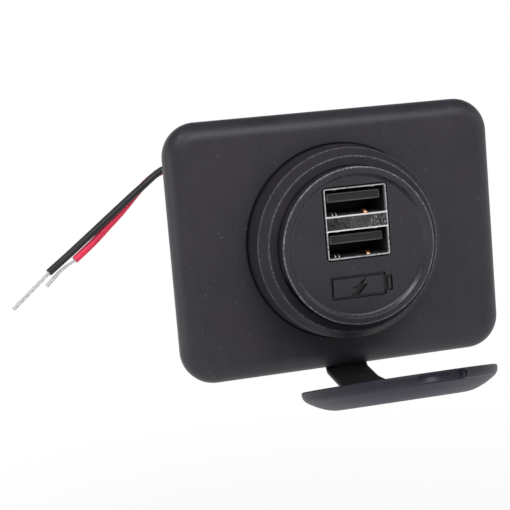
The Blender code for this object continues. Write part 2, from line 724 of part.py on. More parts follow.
def make_circuit_board(laminate):
    """Board with holes for the contacts' tails and slots for the shell's tabs."""
    half = BOARD_WIDTH / 2
    board = block(
        "circuit_board",
        (-half, BOARD_FRONT_Y, BOARD_BOTTOM_Z), (half, BOARD_REAR_Y, BOARD_TOP_Z), laminate)
    past = BOARD_THICKNESS / 2
    for row, word in enumerate(("lower", "upper")):
        tail_y = contact_line(LOWER_PORT_Z, row)[-1][0]
        for number, x in enumerate(CONTACT_STATIONS, start=1):
            half_x = CONTACT_WIDTH / 2 + SNUG_GAP
            half_y = CONTACT_THICKNESS / 2 + SNUG_GAP
            hole = block(
                f"tail_hole_{word}_{number}",
                (x - half_x, tail_y - half_y, BOARD_BOTTOM_Z - past),
                (x + half_x, tail_y + half_y, BOARD_TOP_Z + past), None)
            cut(board, hole)
    for side, word in ((-1, "left"), (1, "right")):
        for number, station in enumerate(TAB_STATIONS, start=1):
            centre_x = side * (SHELL_WIDTH - SHELL_SHEET) / 2
            half_x = SHELL_SHEET / 2 + SNUG_GAP
            start_y = SHELL_FRONT_Y + station
            slot = block(
                f"tab_slot_{word}_{number}",
                (centre_x - half_x, start_y - SNUG_GAP, BOARD_BOTTOM_Z - past),
                (centre_x + half_x, start_y + TAB_WIDTH + SNUG_GAP, BOARD_TOP_Z + past), None)
            cut(board, slot)
    return board


def beside_rail(radius):
    """Returns how far across the board a round part of this radius stands when it is next to a rail."""
    return BOARD_WIDTH / 2 - RAIL_OVERLAP - PART_RAIL_GAP - radius


def make_chip(name, size, x, y, made_of):
    """Flat part under the board, its top face turned to the board."""
    width, length, height = size
    top = BOARD_BOTTOM_Z - GAP
    return block(
        name, (x - width / 2, y - length / 2, top - height), (x + width / 2, y + length / 2, top), made_of)


def stand(upright, place, floor_z):
    """Turns a piece made along Y upright and puts its foot on a floor."""
    upright.data.transform(Matrix.Rotation(math.pi / 2, 4, "X"))
    upright.data.transform(Matrix.Translation((place[0], place[1], floor_z)))
    return upright


def make_capacitor(name, radius, height, place, aluminium):
    """Can capacitor with the crimp groove near its foot."""
    groove = height * 0.15
    can = turned(name, filleted([
        (0.0, 0.0, 0),
        (radius, 0.0, CAPACITOR_CRIMP),
        (radius, groove - CAPACITOR_CRIMP, 0),
        (radius - CAPACITOR_CRIMP, groove, 0),
        (radius, groove + CAPACITOR_CRIMP, 0),
        (radius, height, CAPACITOR_CRIMP),
        (0.0, height, 0),
    ], closed=False), aluminium, FINE_TURN_STEPS, closed=False)
    return stand(can, place, BOARD_TOP_Z + GAP)


def make_coil(ferrite):
    """Drum core of the power inductor."""
    waist = COIL_RADIUS * 0.8
    lip = COIL_HEIGHT * 0.2
    coil = turned("power_inductor", [
        (0.0, 0.0),
        (COIL_RADIUS, 0.0),
        (COIL_RADIUS, lip),
        (waist, lip),
        (waist, COIL_HEIGHT - lip),
        (COIL_RADIUS, COIL_HEIGHT - lip),
        (COIL_RADIUS, COIL_HEIGHT),
        (0.0, COIL_HEIGHT),
    ], ferrite, FINE_TURN_STEPS, closed=False)
    return stand(coil, (beside_rail(COIL_RADIUS), BOARD_REAR_Y - COIL_FROM_REAR), BOARD_TOP_Z + GAP)


def make_ring_nut(plastic):
    """Nut with grip ribs and a round washer face."""
    steps = NUT_RIBS * 6
    start_y = NUT_FRONT_Y
    ribbed_y = NUT_FRONT_Y + NUT_WASHER_FACE
    end_y = NUT_FRONT_Y + NUT_THICKNESS
    valley = NUT_RADIUS - NUT_VALLEY
    chamfer = NUT_VALLEY / 2

    def ring(y, valley_radius, rib_radius):
        """One section of the nut: three points on each rib, three in each valley."""
        points = []
        for step in range(steps):
            angle = math.tau * step / steps
            radius = rib_radius if step % 6 < 3 else valley_radius
            points.append((radius * math.cos(angle), y, radius * math.sin(angle)))
        return points

    nut = lofted("ring_nut", [
        ring(start_y, NUT_RADIUS - chamfer, NUT_RADIUS - chamfer),
        ring(start_y + chamfer, NUT_RADIUS, NUT_RADIUS),
        ring(ribbed_y, NUT_RADIUS, NUT_RADIUS),
        ring(ribbed_y, valley, NUT_RADIUS),
        ring(end_y - chamfer, valley, NUT_RADIUS),
        ring(end_y, valley, NUT_RADIUS - chamfer),
    ], plastic)
    hole = turned("nut_hole", [
        (0.0, start_y - NUT_THICKNESS),
        (BARREL_RADIUS + GAP, start_y - NUT_THICKNESS),
        (BARREL_RADIUS + GAP, end_y + NUT_THICKNESS),
        (0.0, end_y + NUT_THICKNESS),
    ], None, closed=False)
    cut(nut, hole)
    return nut


def make_cap_strap(rubber):
    """Ring round the barrel and the part of the strap that stays under the plate."""
    low_y = STRAP_PLANE_Y - STRAP_THICKNESS / 2
    high_y = STRAP_PLANE_Y + STRAP_THICKNESS / 2
    ring = turned("cap_strap", [
        (PLATE_HOLE_RADIUS, high_y),
        (PLATE_HOLE_RADIUS, low_y),
        (PLATE_HOLE_RADIUS + STRAP_RING_WIDTH, low_y),
        (PLATE_HOLE_RADIUS + STRAP_RING_WIDTH, high_y),
    ], rubber)
    near, _ = split_line(strap_line(), swing_centre().x, GAP)
    half_widths = [STRAP_WIDTH / 2] * len(near)
    tail = ribbon("strap_root", near, half_widths, STRAP_THICKNESS, None)
    weld(ring, tail)
    return ring


def make_dust_cap(rubber):
    """Cap with its end of the strap, turned about the place where the strap folds."""
    pivot = swing_centre()
    closed = closed_cap_centre()
    swing = math.pi / 2 - CAP_OPEN_TILT
    profile = filleted([
        (0.0, -CAP_DEPTH, 0),
        (CAP_CROWN_RADIUS, -CAP_DEPTH, CAP_SLOPE_ROUND),
        (CAP_RADIUS - CAP_FLANK_WIDTH, -CAP_EDGE_DEPTH - CAP_FLANK_DROP, CAP_SLOPE_ROUND),
        (CAP_RADIUS, -CAP_EDGE_DEPTH, CAP_EDGE_ROUND),
        (CAP_RADIUS, 0.0, EDGE_ROUND),
        (CAP_MOUTH_RADIUS, 0.0, EDGE_ROUND / 2),
        (FACE_RADIUS + CAP_FLOOR_CLEARANCE, -CAP_HOLLOW_DEPTH, 0),
        (0.0, -CAP_HOLLOW_DEPTH, 0),
    ], closed=False)
    cap = turned("dust_cap", profile, rubber, closed=False)
    to_local = Matrix.Translation((0.0, closed.x - pivot.x, closed.y - pivot.y))
    cap.data.transform(to_local)
    turn = Matrix.Rotation(-swing, 2)
    _, far = split_line(strap_line(), pivot.x, GAP)
    local_line = [tuple(turn @ (Vector(point) - pivot)) for point in far]
    half_widths = []
    rim_point = Vector(local_line[-1])
    for point in local_line:
        distance = (Vector(point) - rim_point).length - (CAP_RADIUS - CAP_MOUTH_RADIUS) / 2
        share = min(max(1 - distance / STRAP_FLARE_LENGTH, 0.0), 1.0)
        half_widths.append(STRAP_WIDTH / 2 + STRAP_FLARE * share ** 2)
    tail = ribbon("strap_end", local_line, half_widths, STRAP_THICKNESS, None)
    grip_outline = rounded_rectangle(GRIP_WIDTH, GRIP_HEIGHT, GRIP_ROUND)
    grip_z = closed.y - pivot.y + CAP_RADIUS
    grip_y = closed.x - pivot.x - CAP_EDGE_DEPTH / 2
    grip = lofted("grip_recess", [
        [(x, grip_y + y, z) for x, y in grip_outline]
        for z in (grip_z - GRIP_DEPTH, grip_z + GRIP_DEPTH)
    ], None)
    weld(cap, tail)
    cut(cap, grip)
    for placed in (cap, tail, grip):
        placed.location = (0.0, pivot.x, pivot.y)
        placed.rotation_euler.x = swing
    return cap


def make_rear_cap(plastic):
    """Cap that closes the barrel, with a plug ring and the grommet's hole."""
    rear_cap = turned("rear_cap", filleted([
        (0.0, REAR_CAP_Y, 0),
        (REAR_PLUG_INNER_RADIUS, REAR_CAP_Y, 0),
        (REAR_PLUG_INNER_RADIUS, REAR_CAP_Y - REAR_PLUG_LENGTH, 0),
        (REAR_PLUG_RADIUS, REAR_CAP_Y - REAR_PLUG_LENGTH, 0),
        (REAR_PLUG_RADIUS, REAR_CAP_Y, 0),
        (BARREL_RADIUS, REAR_CAP_Y, 0),
        (BARREL_RADIUS, REAR_CAP_END_Y, 2 * EDGE_ROUND),
        (0.0, REAR_CAP_END_Y, 0),
    ], closed=False), plastic, closed=False)
    hole = turned("grommet_hole", [
        (0.0, REAR_CAP_Y - REAR_CAP_THICKNESS),
        (GROMMET_NECK_RADIUS + SNUG_GAP, REAR_CAP_Y - REAR_CAP_THICKNESS),
        (GROMMET_NECK_RADIUS + SNUG_GAP, REAR_CAP_END_Y + REAR_CAP_THICKNESS),
        (0.0, REAR_CAP_END_Y + REAR_CAP_THICKNESS),
    ], None, FINE_TURN_STEPS, closed=False)
    hole.location = (GROMMET_X, 0.0, GROMMET_Z)
    cut(rear_cap, hole)
    return rear_cap


def make_wire_grommet(rubber):
    """Grommet: lip inside the cap, neck in its hole, flange and tapered nose outside."""
    outer_y = REAR_CAP_END_Y + GAP
    inner_y = REAR_CAP_Y - GAP
    grommet = turned("wire_grommet", filleted([
        (0.0, inner_y - GROMMET_FLANGE, 0),
        (GROMMET_FLANGE_RADIUS - GAP, inner_y - GROMMET_FLANGE, 0),
        (GROMMET_FLANGE_RADIUS, inner_y, 0),
        (GROMMET_NECK_RADIUS, inner_y, 0),
        (GROMMET_NECK_RADIUS, outer_y, 0),
        (GROMMET_FLANGE_RADIUS, outer_y, 0),
        (GROMMET_FLANGE_RADIUS, outer_y + GROMMET_FLANGE, EDGE_ROUND),
        (GROMMET_NECK_RADIUS, outer_y + GROMMET_FLANGE, 0),
        (GROMMET_TIP_RADIUS, GROMMET_TIP_Y, EDGE_ROUND),
        (0.0, GROMMET_TIP_Y, 0),
    ], closed=False), rubber, FINE_TURN_STEPS, closed=False)
    grommet.data.transform(Matrix.Translation((GROMMET_X, 0.0, GROMMET_Z)))
    return grommet


def make_cord(name, stations, step, diameter, made_of):
    """Lays a round cord through its route's stations."""
    route = smooth_route(stations, step)
    curve = bpy.data.curves.new(name, "CURVE")
    curve.dimensions = "3D"
    curve.bevel_depth = diameter / 2
    curve.bevel_resolution = 2
    curve.use_fill_caps = True
    spline = curve.splines.new("POLY")
    spline.points.add(len(route) - 1)
    for point, place in zip(spline.points, route):
        point.co = (*place, 1.0)
    curve.materials.append(made_of)
    cord = bpy.data.objects.new(name, curve)
    bpy.context.scene.collection.objects.link(cord)
    return cord


BLACK_WIRE_ROUTE = [
    (GROMMET_X, WIRE_START_Y, GROMMET_Z + WIRE_SPACING / 2),
    (GROMMET_X - 0.0001, WIRE_START_Y + 0.0040, GROMMET_Z + WIRE_SPACING / 2 + 0.0004),
    (-0.0056, 0.0434, 0.0106),
    (-0.0110, 0.0465, 0.0136),
    (-0.0180, 0.0474, 0.0158),
    (-0.0258, 0.0460, 0.0153),
    (-0.0322, 0.0447, 0.0114),
    (-0.0385, 0.0434, 0.0070),
    (-0.0448, 0.0420, 0.0025),
    (-0.0510, 0.0407, -0.0019),
    (-0.0560, 0.0395, -0.0053),
]
RED_WIRE_ROUTE = [
    (GROMMET_X, WIRE_START_Y, GROMMET_Z - WIRE_SPACING / 2),
    (GROMMET_X - 0.0002, WIRE_START_Y + 0.0040, GROMMET_Z - WIRE_SPACING / 2 + 0.0003),
    (-0.0046, 0.0436, 0.0074),
    (-0.0092, 0.0472, 0.0100),
    (-0.0146, 0.0490, 0.0130),
    (-0.0202, 0.0491, 0.0152),
    (-0.0259, 0.0483, 0.0147),
    (-0.0294, 0.0476, 0.0130),
    (-0.0324, 0.0466, 0.0107),
    (-0.0372, 0.0450, 0.0063),
    (-0.0409, 0.0438, 0.0033),
    (-0.0446, 0.0425, 0.0003),
    (-0.0496, 0.0408, -0.0032),
]
BLACK_CORE_ROUTE = [(-0.0562, 0.0394, -0.0055), (-0.0594, 0.0390, -0.0081), (-0.0649, 0.0380, -0.0125)]
RED_CORE_ROUTE = [(-0.0498, 0.0408, -0.0034), (-0.0531, 0.0401, -0.0052), (-0.0568, 0.0395, -0.0083)]


def main():
    """Builds the whole socket."""
    for old in list(bpy.data.objects):
        bpy.data.objects.remove(old, do_unlink=True)

    black_plastic = finish("black_plastic", (60, 58, 63), 0.55)
    barrel_plastic = finish("barrel_plastic", (48, 47, 51), 0.5)
    black_rubber = finish("black_rubber", (52, 50, 55), 0.7)
    insulator = finish("insulator", (40, 40, 42), 0.5)
    tin = finish("tin", (196, 194, 190), 0.3, 1.0)
    gold = finish("gold", (214, 160, 84), 0.3, 1.0)
    laminate = finish("laminate", (38, 84, 58), 0.5)
    epoxy = finish("epoxy", (34, 34, 36), 0.45)
    ferrite = finish("ferrite", (72, 70, 70), 0.6)
    aluminium = finish("aluminium", (188, 190, 194), 0.35, 1.0)
    black_insulation = finish("black_insulation", (48, 50, 52), 0.5)
    red_insulation = finish("red_insulation", (224, 52, 80), 0.5)
    tinned_copper = finish("tinned_copper", (206, 204, 202), 0.35, 1.0)

    make_mounting_plate(black_plastic)
    make_socket_body(barrel_plastic)
    make_flange_seal(black_rubber)
    make_socket_face(black_plastic)
    make_usb_shell(tin)
    for row, (word, low_z) in enumerate((("lower", LOWER_PORT_Z), ("upper", UPPER_PORT_Z))):
        make_port_core(word, low_z, row, insulator)
        make_contacts(word, low_z, row, gold)
    make_circuit_board(laminate)
    make_chip("charge_controller", CHIP_SIZE, 0.0, SHELL_REAR_Y + CHIP_BEHIND_SHELL, epoxy)
    make_chip("rectifier_diode", DIODE_SIZE, DIODE_X, BOARD_REAR_Y - DIODE_FROM_REAR, epoxy)
    make_chip("input_fuse", FUSE_SIZE, FUSE_X, BOARD_REAR_Y - FUSE_FROM_REAR, epoxy)
    make_coil(ferrite)
    make_capacitor(
        "input_capacitor", INPUT_CAPACITOR_RADIUS, INPUT_CAPACITOR_HEIGHT,
        (-beside_rail(INPUT_CAPACITOR_RADIUS), BOARD_REAR_Y - INPUT_CAPACITOR_FROM_REAR), aluminium)
    make_capacitor(
        "output_capacitor", OUTPUT_CAPACITOR_RADIUS, OUTPUT_CAPACITOR_HEIGHT,
        (beside_rail(OUTPUT_CAPACITOR_RADIUS), SHELL_REAR_Y + OUTPUT_CAPACITOR_BEHIND_SHELL), aluminium)
    make_ring_nut(barrel_plastic)
    make_cap_strap(black_rubber)
    make_dust_cap(black_rubber)
    make_rear_cap(barrel_plastic)
    make_wire_grommet(black_rubber)
    make_cord("wire_black", BLACK_WIRE_ROUTE, WIRE_STEP, WIRE_DIAMETER, black_insulation)
    make_cord("wire_red", RED_WIRE_ROUTE, WIRE_STEP, WIRE_DIAMETER, red_insulation)
    make_cord("conductor_black", BLACK_CORE_ROUTE, CORE_STEP, CORE_DIAMETER, tinned_copper)
    make_cord("conductor_red", RED_CORE_ROUTE, CORE_STEP, CORE_DIAMETER, tinned_copper)


main()
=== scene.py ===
"""Dual USB power socket in a plate, with its dust cap, leads, materials, studio and camera."""

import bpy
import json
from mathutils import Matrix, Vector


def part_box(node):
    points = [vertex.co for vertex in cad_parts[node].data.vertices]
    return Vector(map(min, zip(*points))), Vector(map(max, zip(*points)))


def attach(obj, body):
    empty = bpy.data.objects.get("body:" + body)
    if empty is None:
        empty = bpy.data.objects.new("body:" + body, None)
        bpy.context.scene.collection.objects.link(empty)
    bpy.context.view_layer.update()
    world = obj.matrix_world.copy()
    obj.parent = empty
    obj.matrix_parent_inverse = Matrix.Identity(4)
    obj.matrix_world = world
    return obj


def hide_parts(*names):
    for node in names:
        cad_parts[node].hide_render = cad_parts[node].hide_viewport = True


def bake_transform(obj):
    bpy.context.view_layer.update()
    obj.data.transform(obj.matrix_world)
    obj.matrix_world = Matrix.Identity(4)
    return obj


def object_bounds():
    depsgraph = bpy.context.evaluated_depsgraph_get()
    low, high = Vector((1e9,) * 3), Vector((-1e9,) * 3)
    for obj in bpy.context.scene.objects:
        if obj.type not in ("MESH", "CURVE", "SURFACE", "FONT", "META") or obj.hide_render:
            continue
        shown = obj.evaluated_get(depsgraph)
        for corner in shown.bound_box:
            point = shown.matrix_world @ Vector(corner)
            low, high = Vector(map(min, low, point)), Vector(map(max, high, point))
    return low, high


bl_info = {
    "name": "Dual Power Socket",
    "version": (1, 0, 0),
    "blender": (4, 5, 0),
    "location": "3D View > Sidebar > Power Socket",
    "description": "Dresses the model of a panel power socket and sets up its studio",
    "category": "Object",
}

import json
import math

import bmesh
import bpy
from bpy.props import FloatProperty, FloatVectorProperty, IntProperty, PointerProperty
from bpy.types import Operator, Panel, PropertyGroup
from mathutils import Matrix, Vector

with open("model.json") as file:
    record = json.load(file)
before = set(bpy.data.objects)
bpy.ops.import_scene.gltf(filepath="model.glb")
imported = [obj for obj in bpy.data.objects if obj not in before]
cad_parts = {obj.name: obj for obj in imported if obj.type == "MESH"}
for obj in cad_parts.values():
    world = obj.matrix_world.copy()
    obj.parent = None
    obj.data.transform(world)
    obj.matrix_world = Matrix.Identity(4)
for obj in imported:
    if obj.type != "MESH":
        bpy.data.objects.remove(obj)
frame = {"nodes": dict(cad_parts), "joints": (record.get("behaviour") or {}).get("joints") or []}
cad_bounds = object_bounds()

PLATE_LOW, PLATE_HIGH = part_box("mounting_plate")
SHELL_LOW, SHELL_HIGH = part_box("usb_shell")
BODY_LOW, BODY_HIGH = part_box("socket_body")
FACE_LOW, FACE_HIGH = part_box("socket_face")
NUT_LOW, NUT_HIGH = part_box("ring_nut")
SEAL_LOW, SEAL_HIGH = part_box("flange_seal")
REAR_LOW, REAR_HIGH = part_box("rear_cap")
GROMMET_LOW, GROMMET_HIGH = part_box("wire_grommet")
GROMMET_CENTRE = (GROMMET_LOW + GROMMET_HIGH) / 2
HINGE = Vector(frame["joints"][0]["pos_m"])
SHELL_WIDTH = SHELL_HIGH.x - SHELL_LOW.x
SHELL_HEIGHT = 0.01425  # without the tabs that go into the board
SHELL_MIDDLE = SHELL_HIGH.z - SHELL_HEIGHT / 2
SHELL_BOTTOM = SHELL_HIGH.z - SHELL_HEIGHT
FRONT_Y = PLATE_LOW.y
GAP = 0.0003  # clearance between two pieces
PAST = 0.002  # how far a cutter goes past what it cuts
WHITE = (1.0, 1.0, 1.0, 1.0)


# Sizes and colours a user may change

def length(name, default, text, low=0.0):
    """Makes a length property in metres."""
    return FloatProperty(
        name=name, description=text, default=default, min=low, precision=5, subtype="DISTANCE", unit="LENGTH")


def number(name, default, text, low=0.0):
    """Makes a plain number property."""
    return FloatProperty(name=name, description=text, default=default, min=low)


def linear(*channels):
    """Turns sRGB channels (0 to 255) into a linear colour."""
    values = [channel / 255 for channel in channels]
    return tuple(v / 12.92 if v <= 0.04045 else ((v + 0.055) / 1.055) ** 2.4 for v in values)


def colour(name, default, text):
    """Makes a colour property from an sRGB colour."""
    return FloatVectorProperty(
        name=name, description=text, default=linear(*default), min=0.0, max=1.0, size=3, subtype="COLOR")


class PlateSizes(PropertyGroup):
    """The rectangular mounting plate."""
    width: length("Width", PLATE_HIGH.x - PLATE_LOW.x, "Plate from left to right")
    height: length("Height", PLATE_HIGH.z - PLATE_LOW.z, "Plate from bottom to top")
    depth: length("Depth", PLATE_HIGH.y - PLATE_LOW.y, "Plate from its front face to its back rim")
    corner: length("Corner", 0.0070, "Radius of the four corners")
    front_round: length("Front round", 0.0040, "Radius of the rounded front edge")
    front_wall: length("Front wall", 0.0020, "Thickness of the front")
    side_wall: length("Side wall", 0.0022, "Thickness of the rim")
    rib: length("Rib", 0.0012, "Thickness of a stiffening rib")
    hole: length("Hole", 0.0150, "Radius of the socket's hole")
    collar_width: length("Collar width", 0.0036, "Width of the raised ring round the hole")
    collar_height: length("Collar height", 0.0013, "Height of the raised ring round the hole")


class SocketSizes(PropertyGroup):
    """The stepped flange, the barrel and the front face."""
    barrel: length("Barrel", 0.0147, "Radius of the barrel")
    bore: length("Bore", 0.0132, "Radius inside the barrel")
    thread_pitch: length("Thread pitch", 0.0015, "Distance from one thread to the next")
    thread_depth: length("Thread depth", 0.00022, "Height of the thread on the barrel")
    flange_base: length("Flange base", (BODY_HIGH.x - BODY_LOW.x) / 2, "Radius of the flange at the plate")
    flange_edge: length("Flange edge", 0.0194, "Radius of the flange at its first edge")
    flange_edge_height: length("Flange edge height", 0.0057, "Height of the first edge above the plate")
    shoulder: length("Shoulder", 0.0178, "Outer radius of the flat shoulder")
    shoulder_height: length("Shoulder height", 0.0081, "Height of the shoulder above the plate")
    pocket: length("Pocket", 0.0159, "Radius of the pocket for the face")
    edge_round: length("Edge round", 0.0003, "Radius of the moulded edges")
    face: length("Face", (FACE_HIGH.x - FACE_LOW.x) / 2, "Outer radius of the raised face")
    rim: length("Rim", 0.0013, "Width of the flat rim round the face")
    cone: length("Cone", 0.00070, "Width of the sloped step inside the rim")
    recess: length("Recess", 0.00075, "Depth of the flat face below its rim")
    groove: length("Symbol groove", 0.00048, "Depth of the engraved battery symbol")
    seal_inner: length("Seal inner", 0.0158, "Inner radius of the seal")
    seal_outer: length("Seal outer", 0.0184, "Outer radius of the seal")


class ReceptacleSizes(PropertyGroup):
    """The double USB receptacle."""
    sheet: length("Sheet", 0.0003, "Thickness of the shell's sheet")
    port_height: length("Port height", 0.0053, "Height of one port's opening")
    corner: length("Corner", 0.0006, "Radius of the shell's outer corners")
    tongue_width: length("Tongue width", 0.0111, "Width of a port's tongue")
    tongue_thickness: length("Tongue thickness", 0.00184, "Thickness of a port's tongue")
    tongue_top: length("Tongue top gap", 0.0008, "Space above a port's tongue")
    tongue_back: length("Tongue set back", 0.0013, "Depth of the tongue behind the shell's front")


class CapSizes(PropertyGroup):
    """The dust cap and its strap."""
    radius: length("Radius", 0.0185, "Outer radius of the cap")
    depth: length("Depth", 0.0043, "Depth from the rim to the crown")
    edge: length("Edge", 0.0016, "Height of the straight side at the rim")
    crown: length("Crown", 0.0132, "Radius of the flat crown")
    mouth: length("Mouth", 0.0165, "Radius of the hollow at the rim")
    floor_depth: length("Hollow depth", 0.0022, "Depth of the hollow")
    flank_width: length("Flank width", 0.0025, "Width of the steeper part of the slope")
    flank_drop: length("Flank drop", 0.00155, "Height of the steeper part of the slope")
    grip_width: length("Grip width", 0.0100, "Width of the thumb recess")
    grip_height: length("Grip height", 0.0016, "Height of the thumb recess")
    grip_depth: length("Grip depth", 0.0012, "Depth of the thumb recess")
    grip_shift: length("Grip shift", 0.0019, "How far the thumb recess lies right of the middle", -0.01)
    strap_width: length("Strap width", 0.0090, "Width of the strap")
    strap_thickness: length("Strap thickness", 0.0010, "Thickness of the strap")
    strap_flare_left: length("Strap flare left", 0.0010, "How much the strap's left side widens at the cap")
    strap_flare_right: length("Strap flare right", 0.0028, "How much the strap's right side widens at the cap")
    strap_shift: length("Strap shift", 0.0003, "How far the strap lies right of the middle", -0.01)
    tilt: FloatProperty(
        name="Tilt", description="How far the open cap tips up", default=math.radians(14.84),
        subtype="ANGLE", unit="ROTATION")


class LeadSizes(PropertyGroup):
    """The two wire leads."""
    wire: length("Wire", 0.0017, "Diameter over the insulation")
    core: length("Core", 0.0010, "Diameter of the bare conductor")
    strand_black: length("Black lead's strand", 0.00046, "Diameter of one of the black lead's three strands")
    strand_red: length("Red lead's strand", 0.00030, "Diameter of one of the red lead's strands")
    strands: IntProperty(name="Strands", description="Strands of the red lead", default=12, min=3, max=16)


class FinishColours(PropertyGroup):
    """Colours of the finishes."""
    plastic: colour("Plastic", (41, 38, 45), "Moulded plastic of the plate and the socket")
    # Also the colour of painted highlights on the face's rim and step, on the tongues and in the cap's recess.
    wear_and_highlight: colour("Worn edge", (150, 148, 150), "Rubbed edges of the plastic")
    rubber: colour("Rubber", (41, 38, 56), "Rubber of the cap")
    strap: colour("Strap", (22, 21, 23), "Rubber of the strap")
    tin: colour("Tin", (212, 211, 213), "Bright tin plating")
    dull_tin: colour("Dull tin", (74, 72, 75), "Blank sheet between the ports")
    tongue: colour("Tongue", (25, 24, 28), "Insulator in the ports")
    gold: colour("Gold", (222, 160, 78), "Gold flashed contacts")
    bronze: colour("Bronze", (250, 184, 140), "Bare bronze of the springs")
    red: colour("Red", (240, 54, 90), "Insulation of the positive lead")
    black: colour("Black", (40, 40, 43), "Insulation of the negative lead")
    strand: colour("Strand", (212, 212, 215), "Tinned copper strands")
    board: colour("Board", (26, 84, 52), "Solder mask of the circuit board")
    epoxy: colour("Epoxy", (34, 34, 37), "Cases of the chips")
    ferrite: colour("Ferrite", (70, 68, 68), "Core of the inductor")
    sleeve: colour("Sleeve", (24, 26, 34), "Printed sleeve of the capacitors")
    floor: colour("Floor", (242, 242, 242), "Floor of the studio")


class StudioSettings(PropertyGroup):
    """Lights and camera."""
    floor_drop: length("Floor drop", 0.055, "Distance from the lowest piece down to the floor")
    world_level: number("Room light", 0.34, "Light from all sides")
    ceiling_level: number("Ceiling", 0.20, "Brightness of the room overhead")
    side_level: number("Sides", 0.32, "Brightness of the room's front and sides")
    front_level: number("Front light", 6.0, "Radiance of the front light")
    left_level: number("Left light", 9.0, "Radiance of the left light")
    strip_level: number("Strip light", 2.4, "Radiance of the strip on the left")
    right_level: number("Right light", 1.6, "Radiance of the right light")
    lens: number("Lens", 93.28, "Focal length in millimetres", 1.0)


class PowerSocketSettings(PropertyGroup):
    """Everything a user may change."""
    plate: PointerProperty(type=PlateSizes)
    socket: PointerProperty(type=SocketSizes)
    receptacle: PointerProperty(type=ReceptacleSizes)
    cap: PointerProperty(type=CapSizes)
    leads: PointerProperty(type=LeadSizes)
    colours: PointerProperty(type=FinishColours)
    studio: PointerProperty(type=StudioSettings)


# Materials

class Signal:
    """An output socket that Python's operators can be used on; each adds a Math node."""

    def __init__(self, paint, socket):
        self.paint = paint
        self.socket = socket

    def maths(self, operation, *values):
        """Adds a Math node on these values."""
        made = self.paint.node("ShaderNodeMath", {"operation": operation}, dict(enumerate(values)))
        return Signal(self.paint, made.outputs[0])

    def __add__(self, other):
        return self.maths("ADD", self, other)

    __radd__ = __add__

    def __sub__(self, other):
        return self.maths("SUBTRACT", self, other)

    def __rsub__(self, other):
        return self.maths("SUBTRACT", other, self)

    def __mul__(self, other):
        return self.maths("MULTIPLY", self, other)

    __rmul__ = __mul__

    def __truediv__(self, other):
        return self.maths("DIVIDE", self, other)

    def __pow__(self, other):
        return self.maths("POWER", self, other)

    def __abs__(self):
        return self.maths("ABSOLUTE", self)

    def above(self, other):
        """1 where this is over the other value."""
        return self.maths("GREATER_THAN", self, other)

    def least(self, other):
        """The smaller of the two."""
        return self.maths("MINIMUM", self, other)

    def most(self, other):
        """The larger of the two."""
        return self.maths("MAXIMUM", self, other)

    def band(self, centre, half_width):
        """1 at the centre, falling to 0 at half_width from it."""
        away = abs(self - centre) / half_width
        return (1 - away).most(0.0)

    def ramp(self, low, high):
        """Runs from 0 at low to 1 at high, smoothly and clamped."""
        made = self.paint.node(
            "ShaderNodeMapRange", {"interpolation_type": "SMOOTHSTEP", "clamp": True},
            {"Value": self, "From Min": low, "From Max": high})
        return Signal(self.paint, made.outputs["Result"])

    def between(self, low, low_end, high, high_end):
        """Rises from 0 to 1 over the first two values and falls back over the last two."""
        return self.ramp(low, low_end) * (1 - self.ramp(high, high_end))


